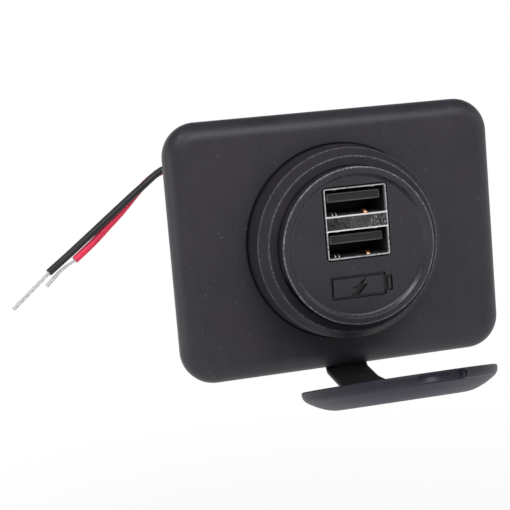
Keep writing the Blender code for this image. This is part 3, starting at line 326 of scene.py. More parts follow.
class Paint:
    """Builds the nodes of one material or world."""

    def __init__(self, owner):
        owner.use_nodes = True
        self.tree = owner.node_tree
        self.tree.nodes.clear()

    def feed(self, socket, value):
        """Links a signal to a socket, or sets its value."""
        if isinstance(value, Signal):
            self.tree.links.new(value.socket, socket)
        else:
            socket.default_value = value

    def node(self, kind, settings=None, inputs=None):
        """Adds a node, sets it up and feeds its sockets."""
        made = self.tree.nodes.new(kind)
        for key, value in (settings or {}).items():
            setattr(made, key, value)
        for key, value in (inputs or {}).items():
            self.feed(made.inputs[key], value)
        return made

    def rays(self, *names):
        """Which of the named kinds of ray is being followed."""
        path = self.node("ShaderNodeLightPath")
        return [Signal(self, path.outputs[f"Is {name} Ray"]) for name in names]

    def place(self, frame_name="Object"):
        """The point on the piece, in metres, in the piece's own frame."""
        return Signal(self, self.node("ShaderNodeTexCoord").outputs[frame_name])

    def split(self, vector):
        """The three parts of a vector."""
        made = self.node("ShaderNodeSeparateXYZ", None, {0: vector})
        return [Signal(self, socket) for socket in made.outputs]

    def stretch(self, vector, *scale):
        """Scales a vector by three factors."""
        made = self.node("ShaderNodeVectorMath", {"operation": "MULTIPLY"}, {0: vector, 1: scale})
        return Signal(self, made.outputs["Vector"])

    def noise(self, vector, size, detail=2.0, roughness=0.5):
        """Noise whose grains are about this size in metres."""
        made = self.node(
            "ShaderNodeTexNoise", None,
            {"Vector": vector, "Scale": 1.0 / size, "Detail": detail, "Roughness": roughness})
        return Signal(self, made.outputs[0])

    def dots(self, vector, size, *edge):
        """Scattered dots about this far apart; edge is where one starts and ends to fade, in shares of that."""
        made = self.node("ShaderNodeTexVoronoi", {"feature": "F1"}, {"Vector": vector, "Scale": 1.0 / size})
        return 1 - Signal(self, made.outputs["Distance"]).ramp(*edge)

    def mix(self, factor, first, second):
        """Mixes two colours."""
        values = [value if isinstance(value, Signal) else (*value[:3], 1.0) for value in (first, second)]
        made = self.node("ShaderNodeMix", {"data_type": "RGBA"}, {0: factor, 6: values[0], 7: values[1]})
        return Signal(self, made.outputs[2])

    def cloudy(self, cloud, tone, dark, light):
        """A colour that a noise makes darker and lighter."""
        return self.mix(cloud.ramp(0.3, 0.7), shade(tone, dark), shade(tone, light))

    def finish(self, tint, rough, height, depth, sheen=None, metal=None):
        """Adds the surface shader, with the height as bump of this depth, and the output."""
        bump = self.node("ShaderNodeBump", None, {"Strength": 1.0, "Distance": depth, "Height": height})
        inputs = {"Base Color": tint, "Roughness": rough, "Normal": Signal(self, bump.outputs["Normal"])}
        if sheen is not None:
            inputs["Specular IOR Level"] = sheen
        if metal is not None:
            inputs["Metallic"] = metal
        self.output(self.node("ShaderNodeBsdfPrincipled", None, inputs))

    def output(self, shader, kind="Material"):
        """Ends the tree with this shader."""
        self.node(f"ShaderNodeOutput{kind}", None, {"Surface": Signal(self, shader.outputs[0])})


def material(name, recipe, *values):
    """Makes a material once and returns it; its name differs from those of the CAD model's own materials."""
    name = f"{name}_finish"
    made = bpy.data.materials.get(name)
    if not made:
        made = bpy.data.materials.new(name)
        recipe(Paint(made), *values)
    return made


def shade(tone, factor):
    """A colour made lighter or darker."""
    return tuple(min(channel * factor, 1.0) for channel in tone[:3])


def distance(a, b):
    """Distance from an axis, given the two parts across it."""
    return (a * a + b * b) ** 0.5


def ring_mask(x, y, z, rings):
    """1 on the given (radius, y, width, strength) rings about the socket's axis."""
    radius = distance(x, z)
    whole = None
    for ring_radius, ring_y, width, strength in rings:
        mask = radius.band(ring_radius, width) * y.band(ring_y, width * 2.0) * strength
        whole = mask if whole is None else whole.most(mask)
    return whole


def moulded(
        paint, tone, wear_and_highlight, rings=(), gloss=0.50, dust=0.0011, sheen=0.40, painted_shade_rings=(), engraved=None, step=None):
    """Spark eroded black plastic: fine grain, cloudy sheen, dust specks, rubbed edges, painted highlights and painted
    shade.

    Rings are rubbed edges, on the face's rim also a painted edge highlight, and painted_shade_rings are crevices
    darkened as painted shade.
    Engraved is the y of a flat face whose symbol's grooves are darkened as painted shade, and step holds the inner and
    outer radius of a polished slope that is lightened as a painted highlight.
    """
    symbol_top = -0.0054
    blur = 0.0001
    place = paint.place()
    x, y, z = paint.split(place)
    cloud = paint.noise(place, 0.012, 3.0)
    fine = paint.noise(place, 0.00016)
    pits = paint.noise(place, 0.00053)
    specks = paint.dots(place, dust, 0.05, 0.13) * paint.noise(place, dust * 2.3).ramp(0.53, 0.63)
    tint = paint.cloudy(cloud, tone, 0.88, 1.16)
    mottle = paint.noise(paint.stretch(place, 1.0, 1.0, 0.5), 0.0024, 4.0, 0.65)
    tint = paint.mix(mottle.ramp(0.35, 0.70) * 0.40, tint, shade(tone, 1.45))
    tint = paint.mix(specks * 0.50, tint, wear_and_highlight)
    if rings:
        # Rubbed edges in the pale edge colour; on the face's rim this also stands in for the edge's highlight, a
        # painted highlight.
        broken = paint.noise(place, 0.00042, 4.0, 0.8).ramp(0.46, 0.60)
        rubbed = ring_mask(x, y, z, rings) * (0.16 + broken * 0.84)
        tint = paint.mix(rubbed.least(1.0), tint, wear_and_highlight)
    if painted_shade_rings:
        # Painted shade: the crevice where the flange meets the plate is darkened nearly to black.
        tint = paint.mix(ring_mask(x, y, z, painted_shade_rings).least(1.0), tint, shade(tone, 0.08))
    if engraved is not None:
        # Painted shade: the engraved symbol's grooves, below the receptacle, are darkened nearly to black.
        sunk = y.ramp(engraved + 0.00018, engraved + 0.00034) * (1 - z.ramp(symbol_top - 2 * blur, symbol_top))
        tint = paint.mix(sunk * 0.92, tint, shade(tone, 0.05))
    rough = gloss + (cloud - 0.5) * 0.10 + (pits - 0.5) * 0.12
    if step:
        slope = distance(x, z).between(step[0] - 2 * blur, step[0] + blur, step[1] - blur, step[1] + blur)
        # Painted highlight: the sloped step inside the rim is lightened with the pale edge colour; its lower roughness
        # is real polish.
        tint = paint.mix(slope * (0.02 + pits.ramp(0.45, 0.65) * 0.07), tint, wear_and_highlight)
        rough = rough - slope * 0.04
    paint.finish(tint, rough, fine * 0.7 + pits * 0.5, 0.000012, sheen)


def soft_rubber(paint, tone, wear_and_highlight, gloss=0.56, cap=None):
    """Matt moulded rubber with bloom and fine dust; cap holds the cap's centre, its two directions and its sizes, and
    adds painted shade on the rim's side and painted highlights in the thumb recess.
    """
    place = paint.place()
    cloud = paint.noise(place, 0.009, 4.0)
    fine = paint.noise(place, 0.00022)
    bloom = paint.noise(paint.stretch(place, 1.0, 1.0, 2.2), 0.0042, 3.0).ramp(0.45, 0.75)
    dust = paint.dots(place, 0.0014, 0.03, 0.10) * paint.noise(place, 0.0034).ramp(0.58, 0.72)
    tint = paint.cloudy(cloud, tone, 0.88, 1.12)
    tint = paint.mix(bloom * 0.03, tint, wear_and_highlight)
    tint = paint.mix(dust * 0.25, tint, wear_and_highlight)
    rough = gloss + (cloud - 0.5) * 0.14
    if cap:
        centre, to_grip, outward, size = cap
        recess_floor = size.radius - 0.0005
        recess_end = size.grip_shift + size.grip_width / 2 - 0.0004
        x, y, z = paint.split(place)
        height, reach = [
            (y - centre.x) * direction.x + (z - centre.y) * direction.y for direction in (outward, to_grip)]
        radius = distance(x, reach)
        # Painted shade: the straight side at the cap's rim is darkened.
        shaded_rim_side = height.ramp(-size.edge - 0.0010, -size.edge + 0.0006)
        tint = paint.mix((shaded_rim_side * (0.50 + cloud * 0.6)).least(1.0), tint, shade(tone, 0.36))
        sunk = height.between(-0.0020, -0.0019, -0.0003, -0.0001)
        sunk = sunk * radius.ramp(size.mouth + 0.0002, size.mouth + 0.0004)
        sunk = sunk * (1 - radius.ramp(recess_floor - 0.0002, recess_floor))
        rough = rough - sunk * 0.12
        # Painted highlight: the thumb recess is lightened; its lower roughness is real.
        tint = paint.mix(sunk * 0.5, tint, shade(tone, 1.25))
        # Painted highlights: a spot at the recess's left and its right end wall are lightened with the pale edge
        # colour.
        painted_highlight_spot = x.band(size.grip_shift - 0.0020, 0.0016) * height.band(-0.0012, 0.0006)
        painted_highlight_wall = x.ramp(recess_end - 0.0003, recess_end)
        tint = paint.mix((sunk * painted_highlight_spot.most(painted_highlight_wall) * reach.above(0.0) * 0.5).least(1.0), tint, wear_and_highlight)
    paint.finish(tint, rough, fine * 0.8 + cloud * 0.5, 0.000014, 0.42)


def cap_place(size):
    """The open cap's swing, rim centre, direction to its grip and direction out of its rim, all as (y, z)."""
    to_grip = Vector((-math.cos(size.tilt), math.sin(size.tilt)))
    outward = Vector((math.sin(size.tilt), math.cos(size.tilt)))
    swing = math.pi / 2 - size.tilt
    pivot = Vector((HINGE.y, HINGE.z))
    closed = Vector((FACE_LOW.y - GAP + size.floor_depth, 0.0))
    return swing, pivot + Matrix.Rotation(swing, 2) @ (closed - pivot), to_grip, outward


def tin_sheet(paint, bright, dull, half_bar):
    """Tin plated sheet: edges with painted highlights, painted shade at its outer edge and inside the ports, and a
    dull speckled bar between the ports.
    """
    edge = 0.00022
    fold = 0.0001
    rim_width = 0.00007
    half_width = SHELL_WIDTH / 2
    half_height = SHELL_HEIGHT / 2
    low_z = SHELL_MIDDLE - half_bar
    high_z = SHELL_MIDDLE + half_bar
    front_y = SHELL_LOW.y
    place = paint.place()
    x, y, z = paint.split(place)
    on_bar = z.between(low_z + edge, low_z + edge * 1.5, high_z - edge * 1.5, high_z - edge)
    on_bar = on_bar * (1 - abs(x).ramp(half_width - edge * 1.6, half_width - edge))
    on_bar = on_bar * (1 - y.ramp(front_y + 0.0002, front_y + 0.0004))
    speckle = paint.noise(place, 0.00026, 3.0, 0.75)
    cloud = paint.noise(place, 0.0021, 3.0)
    streak = paint.noise(paint.stretch(place, 0.25, 1.0, 3.0), 0.0007, 3.0)
    brushed = paint.noise(paint.stretch(place, 3.0, 1.0, 0.7), 0.0007, 3.0, 0.7)
    left = 1 - x.ramp(-0.0058, -0.0030)
    right = x.ramp(0.0012, 0.0040)
    bar = paint.cloudy(cloud, dull, 0.42, 1.30)
    bar = paint.mix(x.band(-0.0006, 0.0036) * 0.45, bar, shade(dull, 1.8))
    bar = paint.mix(left * brushed.ramp(0.42, 0.56) * 0.8, bar, shade(dull, 0.12))
    bar = paint.mix(speckle.ramp(0.50, 0.38) * 0.55, bar, shade(dull, 0.18))
    bar = paint.mix(speckle.ramp(0.56, 0.64) * (0.25 + right * 0.60), bar, bright)
    sheet = paint.mix(streak.ramp(0.35, 0.7), shade(bright, 0.72), bright)
    blotches = 1 - paint.noise(place, 0.00045, 3.0, 0.7).ramp(0.36, 0.46)
    sheet = paint.mix(blotches * 0.75, sheet, shade(dull, 0.8))
    # Painted highlights: white lines along the folded lips above and below the bar.
    lip_highlights = z.band(low_z + fold, 0.00028).most(z.band(high_z - fold, 0.00028))
    sheet = paint.mix(lip_highlights * 0.85, sheet, WHITE)
    # Painted shade: a dark line along the shell's outer edge, where it meets the face.
    rim = abs(x).ramp(half_width - 0.00013, half_width - rim_width)
    rim = rim.most(abs(z - SHELL_MIDDLE).ramp(half_height - 0.00013, half_height - rim_width))
    sheet = paint.mix(rim * 0.8, sheet, shade(dull, 0.35))
    # Painted shade: the sheet inside the ports is darkened.
    inside = y.ramp(front_y + 0.0003, front_y + 0.0012)
    sheet = paint.mix(inside * 0.92, sheet, shade(dull, 0.32))
    tint = paint.mix(on_bar, sheet, bar)
    rough = 0.26 + streak * 0.16 + on_bar * 0.16
    rubbed = (1 - on_bar) * (1 - inside)
    paint.finish(
        tint, rough, speckle * 0.6 + streak * 0.4, 0.000010, metal=1 - rubbed * 0.45 - inside * 0.6)


def plated(paint, tone, dull=0.6, gloss=0.28, metal=1.0):
    """Plated or bare metal with drawn streaks and tarnish; a lower metal share is a dull oxidised skin."""
    place = paint.place()
    streak = paint.noise(paint.stretch(place, 1.0, 0.2, 1.0), 0.0004, 3.0)
    cloud = paint.noise(place, 0.0018, 3.0)
    tint = paint.mix(cloud.ramp(0.3, 0.75) * streak.ramp(0.2, 0.8), tone, shade(tone, dull))
    paint.finish(tint, gloss + streak * 0.18, streak, 0.000006, metal=metal)


def port_insulator(paint, tone, wear_and_highlight, front_y, half_width, edges):
    """Glass filled insulator, with painted highlights along the edges of a tongue's nose and faintly over the nose."""
    place = paint.place()
    x, y, z = paint.split(place)
    fibres = paint.noise(paint.stretch(place, 0.4, 1.0, 1.6), 0.0005, 4.0)
    fine = paint.noise(place, 0.00014)
    nose = 1 - y.ramp(front_y + 0.0003, front_y + 0.0008)
    line = abs(x).band(half_width, 0.00022)
    for edge_z in edges:
        line = line.most(z.band(edge_z, 0.00024))
    tint = paint.cloudy(fibres, tone, 0.75, 1.3)
    # Painted highlights: the nose is faintly lightened and its edges lightened more.
    tint = paint.mix(nose * 0.05, tint, wear_and_highlight)
    tint = paint.mix(nose * line * (0.22 + fibres * 0.50), tint, wear_and_highlight)
    paint.finish(tint, 0.42 + fibres * 0.16, fine + fibres, 0.000010, 0.22)


def insulation(paint, tone, gloss=0.36):
    """Soft extruded sleeve of a lead, with die lines along it and light scuffs."""
    place = paint.place()
    lines = paint.noise(paint.stretch(place, 0.25, 0.6, 0.3), 0.0006, 3.0)
    scuff = paint.noise(place, 0.0030).ramp(0.62, 0.80)
    tint = paint.cloudy(paint.noise(place, 0.006), tone, 0.90, 1.10)
    tint = paint.mix(scuff * 0.05, tint, (0.55, 0.55, 0.56))
    paint.finish(tint, gloss + scuff * 0.2 + (lines - 0.5) * 0.10, lines, 0.0000012, 0.40)


def board_mask(paint, tone, copper):
    """Solder mask over copper runs, with the weave of the laminate."""
    place = paint.place()
    x, y, z = paint.split(place)
    weave = paint.noise(paint.stretch(place, 1.0, 3.0, 1.0), 0.0004)
    wander = paint.noise(place, 0.004, 1.0)
    across = x * 620.0 + wander * 2.2
    traces = 1 - across.maths("PINGPONG", across, 0.5).ramp(0.10, 0.16)
    traces = traces * paint.noise(place, 0.0055).ramp(0.42, 0.50)
    tint = paint.cloudy(weave, tone, 0.85, 1.15)
    tint = paint.mix(traces * 0.6, tint, shade(tone, 2.2))
    tint = paint.mix(paint.dots(place, 0.0021, 0.10, 0.14) * 0.8, tint, copper)
    paint.finish(tint, 0.34 + weave * 0.12, traces + weave * 0.3, 0.00002)


def can_finish(paint, tone, sleeve, stripe_x, top_z):
    """Aluminium can in a printed sleeve, bare at its top, with one pale stripe."""
    place = paint.place()
    x, y, z = paint.split(place)
    brushed = paint.noise(paint.stretch(place, 1.0, 1.0, 4.0), 0.0006, 3.0)
    bare = z.ramp(top_z - 0.0003, top_z - 0.0002)
    stripe = x.band(stripe_x, 0.0009).ramp(0.1, 0.2)
    tint = paint.mix(bare, paint.mix(stripe, sleeve, (0.45, 0.47, 0.50)), tone)
    paint.finish(tint, 0.30 + brushed * 0.16, brushed, 0.000008, metal=bare)


def epoxy_case(paint, tone):
    """Moulded epoxy with a fine matt skin."""
    place = paint.place()
    fine = paint.noise(place, 0.00012, 3.0)
    tint = paint.mix(paint.noise(place, 0.0015), shade(tone, 0.85), shade(tone, 1.2))
    paint.finish(tint, 0.5 + fine * 0.2, fine, 0.000014)


def finishes(settings):
    """All the object's materials by name."""
    tones = settings.colours
    size = settings.socket
    port = settings.receptacle
    plain, wear_and_highlight, strand = tuple(tones.plastic), tuple(tones.wear_and_highlight), tuple(tones.strand)
    line = 0.0001
    body_rings = (
        (size.flange_edge - line, FRONT_Y - size.flange_edge_height, 0.00024, 0.50),
        (size.shoulder - line, FRONT_Y - size.shoulder_height, 0.00024, 0.60),
    )
    # Painted shade rings round the flange's foot, on the body and on the plate.
    body_painted_shade = ((size.flange_base, FRONT_Y - GAP, 0.0007, 0.85),)
    plate_painted_shade = ((size.flange_base + line, FRONT_Y + 0.0005, 0.00045, 3.0),)
    # The face's rim ring is wear and a painted edge highlight.
    face_rings = ((size.face - line, FACE_LOW.y, 0.00030, 1.10),)
    step = (size.face - size.rim - size.cone, size.face - size.rim)
    half_bar = SHELL_HEIGHT / 2 - port.sheet - port.port_height
    tongue_edges = []
    for low_z in (SHELL_BOTTOM + port.sheet, SHELL_HIGH.z - port.sheet - port.port_height):
        top = low_z + port.port_height - port.tongue_top
        tongue_edges += [top - line, top - port.tongue_thickness + line]
    return {
        "plate": material("plate_plastic", moulded, plain, wear_and_highlight, (), 0.46, 0.0013, 0.40, plate_painted_shade),
        "body": material(
            "socket_plastic", moulded, shade(plain, 1.05), wear_and_highlight, body_rings, 0.60, 0.0007, 0.24, body_painted_shade),
        "face": material(
            "face_plastic", moulded, shade(plain, 0.98), wear_and_highlight, face_rings, 0.33, 0.0009, 0.42, (),
            FACE_LOW.y + size.recess, step),
        "barrel": material("barrel_plastic", moulded, shade(plain, 0.85), wear_and_highlight, (), 0.42),
        "rubber": material(
            "cap_rubber", soft_rubber, tuple(tones.rubber), wear_and_highlight, 0.52, (*cap_place(settings.cap)[1:], settings.cap)),
        "strap": material("strap_rubber", soft_rubber, tuple(tones.strap), wear_and_highlight, 0.60),
        "tin": material("tin_plate", tin_sheet, tuple(tones.tin), tuple(tones.dull_tin), half_bar),
        "tongue": material(
            "port_insulator", port_insulator, tuple(tones.tongue), wear_and_highlight, SHELL_LOW.y + port.tongue_back,
            port.tongue_width / 2 - line, tongue_edges),
        "gold": material("gold_flash", plated, tuple(tones.gold)),
        "bronze": material("bare_bronze", plated, tuple(tones.bronze), 0.7, 0.30),
        "spring": material("bright_spring", plated, strand, 0.45, 0.40),
        "red": material("red_insulation", insulation, tuple(tones.red), 0.50),
        "black": material("black_insulation", insulation, tuple(tones.black), 0.52),
        "strand": material("tinned_strand", plated, strand, 0.86, 0.55, 0.10),
        "board": material("solder_mask", board_mask, tuple(tones.board), tuple(tones.gold)),
        "epoxy": material("epoxy_case", epoxy_case, tuple(tones.epoxy)),
        "ferrite": material("ferrite_core", epoxy_case, tuple(tones.ferrite)),
    }


# Outlines and routes

def filleted(corners, closed=True, arc=9.0):
    """An outline's points, with an arc at each corner (a, b, radius) whose radius is not 0; arc is in degrees."""
    points = []
    count = len(corners)
    for index, (a, b, radius) in enumerate(corners):
        here = Vector((a, b))
        if radius == 0 or (not closed and index in (0, count - 1)):
            points.append(here)
            continue
        before = Vector(corners[index - 1][:2]) - here
        after = Vector(corners[(index + 1) % count][:2]) - here
        turn = math.pi - before.angle(after)
        bisector = (before.normalized() + after.normalized()).normalized()
        centre = here + bisector * (radius / math.cos(turn / 2))
        start = here + before.normalized() * radius * math.tan(turn / 2) - centre
        steps = max(2, math.ceil(turn / math.radians(arc)))
        sign = 1 if before.cross(after) < 0 else -1
        for step in range(steps + 1):
            points.append(centre + Matrix.Rotation(sign * turn * step / steps, 2) @ start)
    return [(point.x, point.y) for point in points]


def rounded_rectangle(width, height, radius, arc=9.0):
    """A rectangle's outline, centred on 0, with round corners."""
    a = width / 2
    b = height / 2
    return filleted([(a, b, radius), (-a, b, radius), (-a, -b, radius), (a, -b, radius)], True, arc)


def smooth_route(stations, step):
    """Points at about the given step on a smooth curve through the stations."""
    parts = 24
    knots = [Vector(station) for station in stations]
    knots = [2 * knots[0] - knots[1], *knots, 2 * knots[-1] - knots[-2]]
    fine = []
    for index in range(1, len(knots) - 2):
        a, b, c, d = knots[index - 1:index + 3]
        for part in range(parts):
            t = part / parts
            fine.append(0.5 * (
                2 * b + (c - a) * t + (2 * a - 5 * b + 4 * c - d) * t ** 2
                + (3 * b - a - 3 * c + d) * t ** 3
            ))
    fine.append(knots[-2])
    travelled = [0.0]
    for here, there in zip(fine, fine[1:]):
        travelled.append(travelled[-1] + (there - here).length)
    count = max(2, round(travelled[-1] / step))
    route = []
    place = 0
    for station in range(count + 1):
        wanted = travelled[-1] * station / count
        while place < len(fine) - 2 and travelled[place + 1] < wanted:
            place += 1
        share = (wanted - travelled[place]) / (travelled[place + 1] - travelled[place])
        route.append(fine[place].lerp(fine[place + 1], min(share, 1.0)))
    return route


def smooth_line(line, step):
    """The same for a (y, z) line."""
    return [(point.y, point.z) for point in smooth_route([(0.0, y, z) for y, z in line], step)]


def route_length(route):
    """Length of a route."""
    return sum((b - a).length for a, b in zip(route, route[1:]))


def frames(route):
    """Each point of a route, with two directions across it that don't twist."""
    side = None
    for index, point in enumerate(route):
        along = (route[min(index + 1, len(route) - 1)] - route[max(index - 1, 0)]).normalized()
        if side is None:
            side = along.orthogonal().normalized()
        side = (side - along * side.dot(along)).normalized()
        yield point, side, along.cross(side)


# Meshes

def piece(name, shape, finish, body="socket", crease=32.0):
    """Turns a bmesh into a smooth shaded object that rides on a body."""
    bmesh.ops.remove_doubles(shape, verts=shape.verts, dist=1e-7)
    bmesh.ops.recalc_face_normals(shape, faces=shape.faces)
    mesh = bpy.data.meshes.new(name)
    shape.to_mesh(mesh)
    shape.free()
    made = bpy.data.objects.new(name, mesh)
    bpy.context.scene.collection.objects.link(made)
    if finish:
        mesh.materials.append(finish)
    soften(made, crease)
    if body:
        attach(made, body)
    return made


def soften(made, crease=32.0):
    """Shades a mesh smooth up to a crease angle."""
    made.data.shade_smooth()
    made.data.set_sharp_from_angle(angle=math.radians(crease))


def skin(shape, rings):
    """Joins rings of one point count and closes both ends."""
    count = len(rings[0])
    for ring, following in zip(rings, rings[1:]):
        for index in range(count):
            beside = (index + 1) % count
            shape.faces.new((ring[index], ring[beside], following[beside], following[index]))
    shape.faces.new(rings[0])
    shape.faces.new(rings[-1])


def turned(name, outline, finish=None, steps=128, body="socket", shape_point=None, closed=True, centre=(0.0, 0.0)):
    """Turns an outline of (radius, y) about the Y axis; shape_point may move each point."""
    shape = bmesh.new()
    rows = []
    for radius, y in outline:
        row = []
        for step in range(steps):
            angle = math.tau * step / steps
            r, here = shape_point(radius, y, angle) if shape_point else (radius, y)
            if radius < 1e-9 and step:
                row.append(row[0])
                continue
            row.append(shape.verts.new((centre[0] + r * math.cos(angle), here, centre[1] + r * math.sin(angle))))
        rows.append(row)
    if closed:
        rows.append(rows[0])
    for row, following in zip(rows, rows[1:]):
        for step in range(steps):
            beside = (step + 1) % steps
            corners = []
            for vert in (row[step], row[beside], following[beside], following[step]):
                if vert not in corners:
                    corners.append(vert)
            if len(corners) > 2:
                shape.faces.new(corners)
    return piece(name, shape, finish, body)


def cylinder(name, radius, low_y, high_y, steps=128, centre=(0.0, 0.0)):
    """A round cutter along Y."""
    return turned(
        name, [(0.0, low_y), (radius, low_y), (radius, high_y), (0.0, high_y)], None, steps, None, None, False, centre)


def washer(name, radii, low_y, high_y, finish, rounds):
    """A flat rubber ring, given its inner and outer radius and how far the edges of each are rounded."""
    return turned(name, filleted([
        (radii[0], high_y, rounds[0]), (radii[0], low_y, rounds[0]),
        (radii[1], low_y, rounds[1]), (radii[1], high_y, rounds[1]),
    ], arc=30), finish, 120)


def lofted(name, sections, finish, body="socket"):
    """Joins sections of one point count and closes both ends."""
    shape = bmesh.new()
    skin(shape, [[shape.verts.new(point) for point in section] for section in sections])
    return piece(name, shape, finish, body)


def prism(name, outline, low_y, high_y, finish=None, centre=(0.0, 0.0), body=None):
    """Extrudes an (x, z) outline along Y."""
    sections = [[(centre[0] + x, y, centre[1] + z) for x, z in outline] for y in (low_y, high_y)]
    return lofted(name, sections, finish, body)


def shell_cutter(name, port, clearance, low_y, high_y):
    """A cutter for a hole that the receptacle goes through with this clearance."""
    outline = rounded_rectangle(SHELL_WIDTH + 2 * clearance, SHELL_HEIGHT + 2 * clearance, port.corner + clearance)
    return prism(name, outline, low_y, high_y, None, (0.0, SHELL_MIDDLE))


def block(name, corner, opposite, finish=None, body=None, bevel=0.0):
    """A box between two opposite corners, its edges rounded where a bevel is given."""
    low, high = [Vector([pick(pair) for pair in zip(corner, opposite)]) for pick in (min, max)]
    shape = bmesh.new()
    bmesh.ops.create_cube(shape, size=1.0)
    bmesh.ops.scale(shape, vec=high - low, verts=shape.verts)
    bmesh.ops.translate(shape, vec=(low + high) / 2, verts=shape.verts)
    if bevel:
        bmesh.ops.bevel(shape, geom=shape.edges[:], offset=bevel, segments=3, profile=0.5, affect="EDGES")
    return piece(name, shape, finish, body)


def carve(target, tools, operation="DIFFERENCE"):
    """Cuts tools out of a target, or joins them to it, and removes them."""
    for tool in tools:
        modifier = target.modifiers.new(tool.name, "BOOLEAN")
        modifier.object = tool
        modifier.operation = operation
        modifier.solver = "EXACT"
    graph = bpy.context.evaluated_depsgraph_get()
    graph.update()
    result = bpy.data.meshes.new_from_object(target.evaluated_get(graph), depsgraph=graph)
    target.modifiers.clear()
    old = target.data
    target.data = result
    bpy.data.meshes.remove(old)
    for tool in tools:
        bpy.data.objects.remove(tool, do_unlink=True)
    return target


def ribbon(name, centre_line, sides, thickness, finish, edge=0.0003):
    """Sweeps a flat band with round edges along a (y, z) line; sides gives its left and right X at each point."""
    sections = []
    for index, (y, z) in enumerate(centre_line):
        before = Vector(centre_line[max(index - 1, 0)])
        after = Vector(centre_line[min(index + 1, len(centre_line) - 1)])
        along = (after - before).normalized()
        out = Vector((-along.y, along.x))
        left, right = sides[index]
        outline = rounded_rectangle(right - left, thickness, edge, 30)
        sections.append([((left + right) / 2 + x, y + out.x * lift, z + out.y * lift) for x, lift in outline])
    return lofted(name, sections, finish, None)


def add_rod(shape, route, radii, sides):
    """Adds a round rod along a route, with a radius at each of its points, to a bmesh."""
    skin(shape, [[
        shape.verts.new(point + (side * math.cos(angle) + other * math.sin(angle)) * radius)
        for angle in (math.tau * step / sides for step in range(sides))
    ] for radius, (point, side, other) in zip(radii, frames(route))])


def dress(node, finish, slot):
    """Gives a CAD node that stays its material."""
    made = frame["nodes"][node]
    made.data.materials.clear()
    made.data.materials.append(finish)


def stand_for(made, slot, *nodes):
    """Hides the CAD nodes that a piece replaces; slot is not used."""
    if nodes:
        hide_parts(*nodes)


def settle(made, slot, node, crease=32.0):
    """Smooths a carved piece, keeps its flat faces flat and hides the CAD node it replaces."""
    soften(made, crease)
    made.modifiers.new("even normals", "WEIGHTED_NORMAL").keep_sharp = True
    stand_for(made, slot, node)


def given(context, group):
    """All the settings, one group of them and the finishes."""
    settings = context.scene.power_socket
    return settings, getattr(settings, group), finishes(settings)


# The leads: the stations are those of the CAD cords

STATIONS = {
    "black": (
        (-0.0001, 0.0040, 0.00145), (-0.0056, 0.0434, 0.0106), (-0.0110, 0.0465, 0.0136), (-0.0180, 0.0474, 0.0158),
        (-0.0258, 0.0460, 0.0153), (-0.0322, 0.0447, 0.0114), (-0.0385, 0.0434, 0.0070), (-0.0448, 0.0420, 0.0025),
        (-0.0510, 0.0407, -0.0019), (-0.0560, 0.0395, -0.0053),
    ),
    "red": (
        (-0.0002, 0.0040, -0.00075), (-0.0046, 0.0436, 0.0074), (-0.0092, 0.0472, 0.0100),
        (-0.0146, 0.0490, 0.0130), (-0.0202, 0.0491, 0.0152), (-0.0259, 0.0483, 0.0147),
        (-0.0294, 0.0476, 0.0130), (-0.0324, 0.0466, 0.0107), (-0.0372, 0.0450, 0.0063),
        (-0.0409, 0.0438, 0.0033), (-0.0446, 0.0425, 0.0003), (-0.0496, 0.0408, -0.0032),
    ),
}
CORES = {
    "black": ((-0.0562, 0.0394, -0.0055), (-0.0594, 0.0390, -0.0081), (-0.0649, 0.0380, -0.0125)),
    "red": ((-0.0498, 0.0408, -0.0034), (-0.0531, 0.0401, -0.0052), (-0.0568, 0.0395, -0.0083)),
}


def lead_route(stations, lift):
    """A lead's route from the grommet's nose."""
    start = Vector((GROMMET_CENTRE.x, GROMMET_HIGH.y + GAP, GROMMET_CENTRE.z))
    first = start + Vector((0.0, 0.0, lift))
    second = start + Vector(stations[0])
    return smooth_route([first, second, *stations[1:]], 0.0012)


def strand_bundle(name, route, finish, strand, spread, twist, around):
    """Bare tinned strands twisted round a solid middle; spread is their distance from it at both ends."""
    shape = bmesh.new()
    travelled = 0.0
    whole = route_length(route)
    before = route[0]
    rows = [[] for _ in range(around)]
    middle = []
    for point, side, other in frames(route):
        travelled += (point - before).length
        before = point
        share = travelled / whole
        away = spread[0] + (spread[1] - spread[0]) * share ** 1.4
        middle.append(away)
        for strand_number, row in enumerate(rows):
            angle = math.tau * (strand_number / around + travelled / twist)
            sway = 1 + 0.06 * math.sin(7 * share + strand_number * 2.4)
            row.append(point + (side * math.cos(angle) + other * math.sin(angle)) * away * sway)
    add_rod(shape, route, middle, 12)
    for row in rows:
        add_rod(shape, row, [strand / 2] * len(row), 8)
    return piece(name, shape, finish, "socket", 60.0)


class SOCKET_OT_leads(Operator):
    """Lays the two wire leads with their bare strands"""
    bl_idname = "power_socket.leads"
    bl_label = "Leads"

    def execute(self, context):
        _, size, looks = given(context, "leads")
        apart = 0.00105
        tucked = 0.0006
        twisted = (size.core - size.strand_black) / 2
        for word, lift, strand, spread, twist, around in (
            ("black", apart, size.strand_black, (twisted * 0.8, twisted), 0.0050, 3),
            ("red", -apart, size.strand_red, (0.00014, 0.00036), 0.0300, size.strands),
        ):
            route = lead_route(STATIONS[word], lift)
            curve = bpy.data.curves.new(f"lead_{word}", "CURVE")
            curve.dimensions = "3D"
            curve.bevel_depth = size.wire / 2
            curve.bevel_resolution = 6
            curve.use_fill_caps = True
            spline = curve.splines.new("POLY")
            spline.points.add(len(route) - 1)
            for point, place in zip(spline.points, route):
                point.co = (*place, 1.0)
            curve.materials.append(looks[word])
            lead = bpy.data.objects.new(f"lead_{word}", curve)
            context.scene.collection.objects.link(lead)
            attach(lead, "socket")
            stand_for(lead, f"{word}_insulation", f"wire_{word}")
            back = (route[-1] - route[-2]).normalized()
            strands = strand_bundle(
                f"strands_{word}", smooth_route([route[-1] - back * tucked, *CORES[word]], 0.0003),
                looks["strand"], strand, spread, twist, around)
            stand_for(strands, "tinned_copper", f"conductor_{word}")
            tuple(route[0])
            route_length(route)
        return {"FINISHED"}


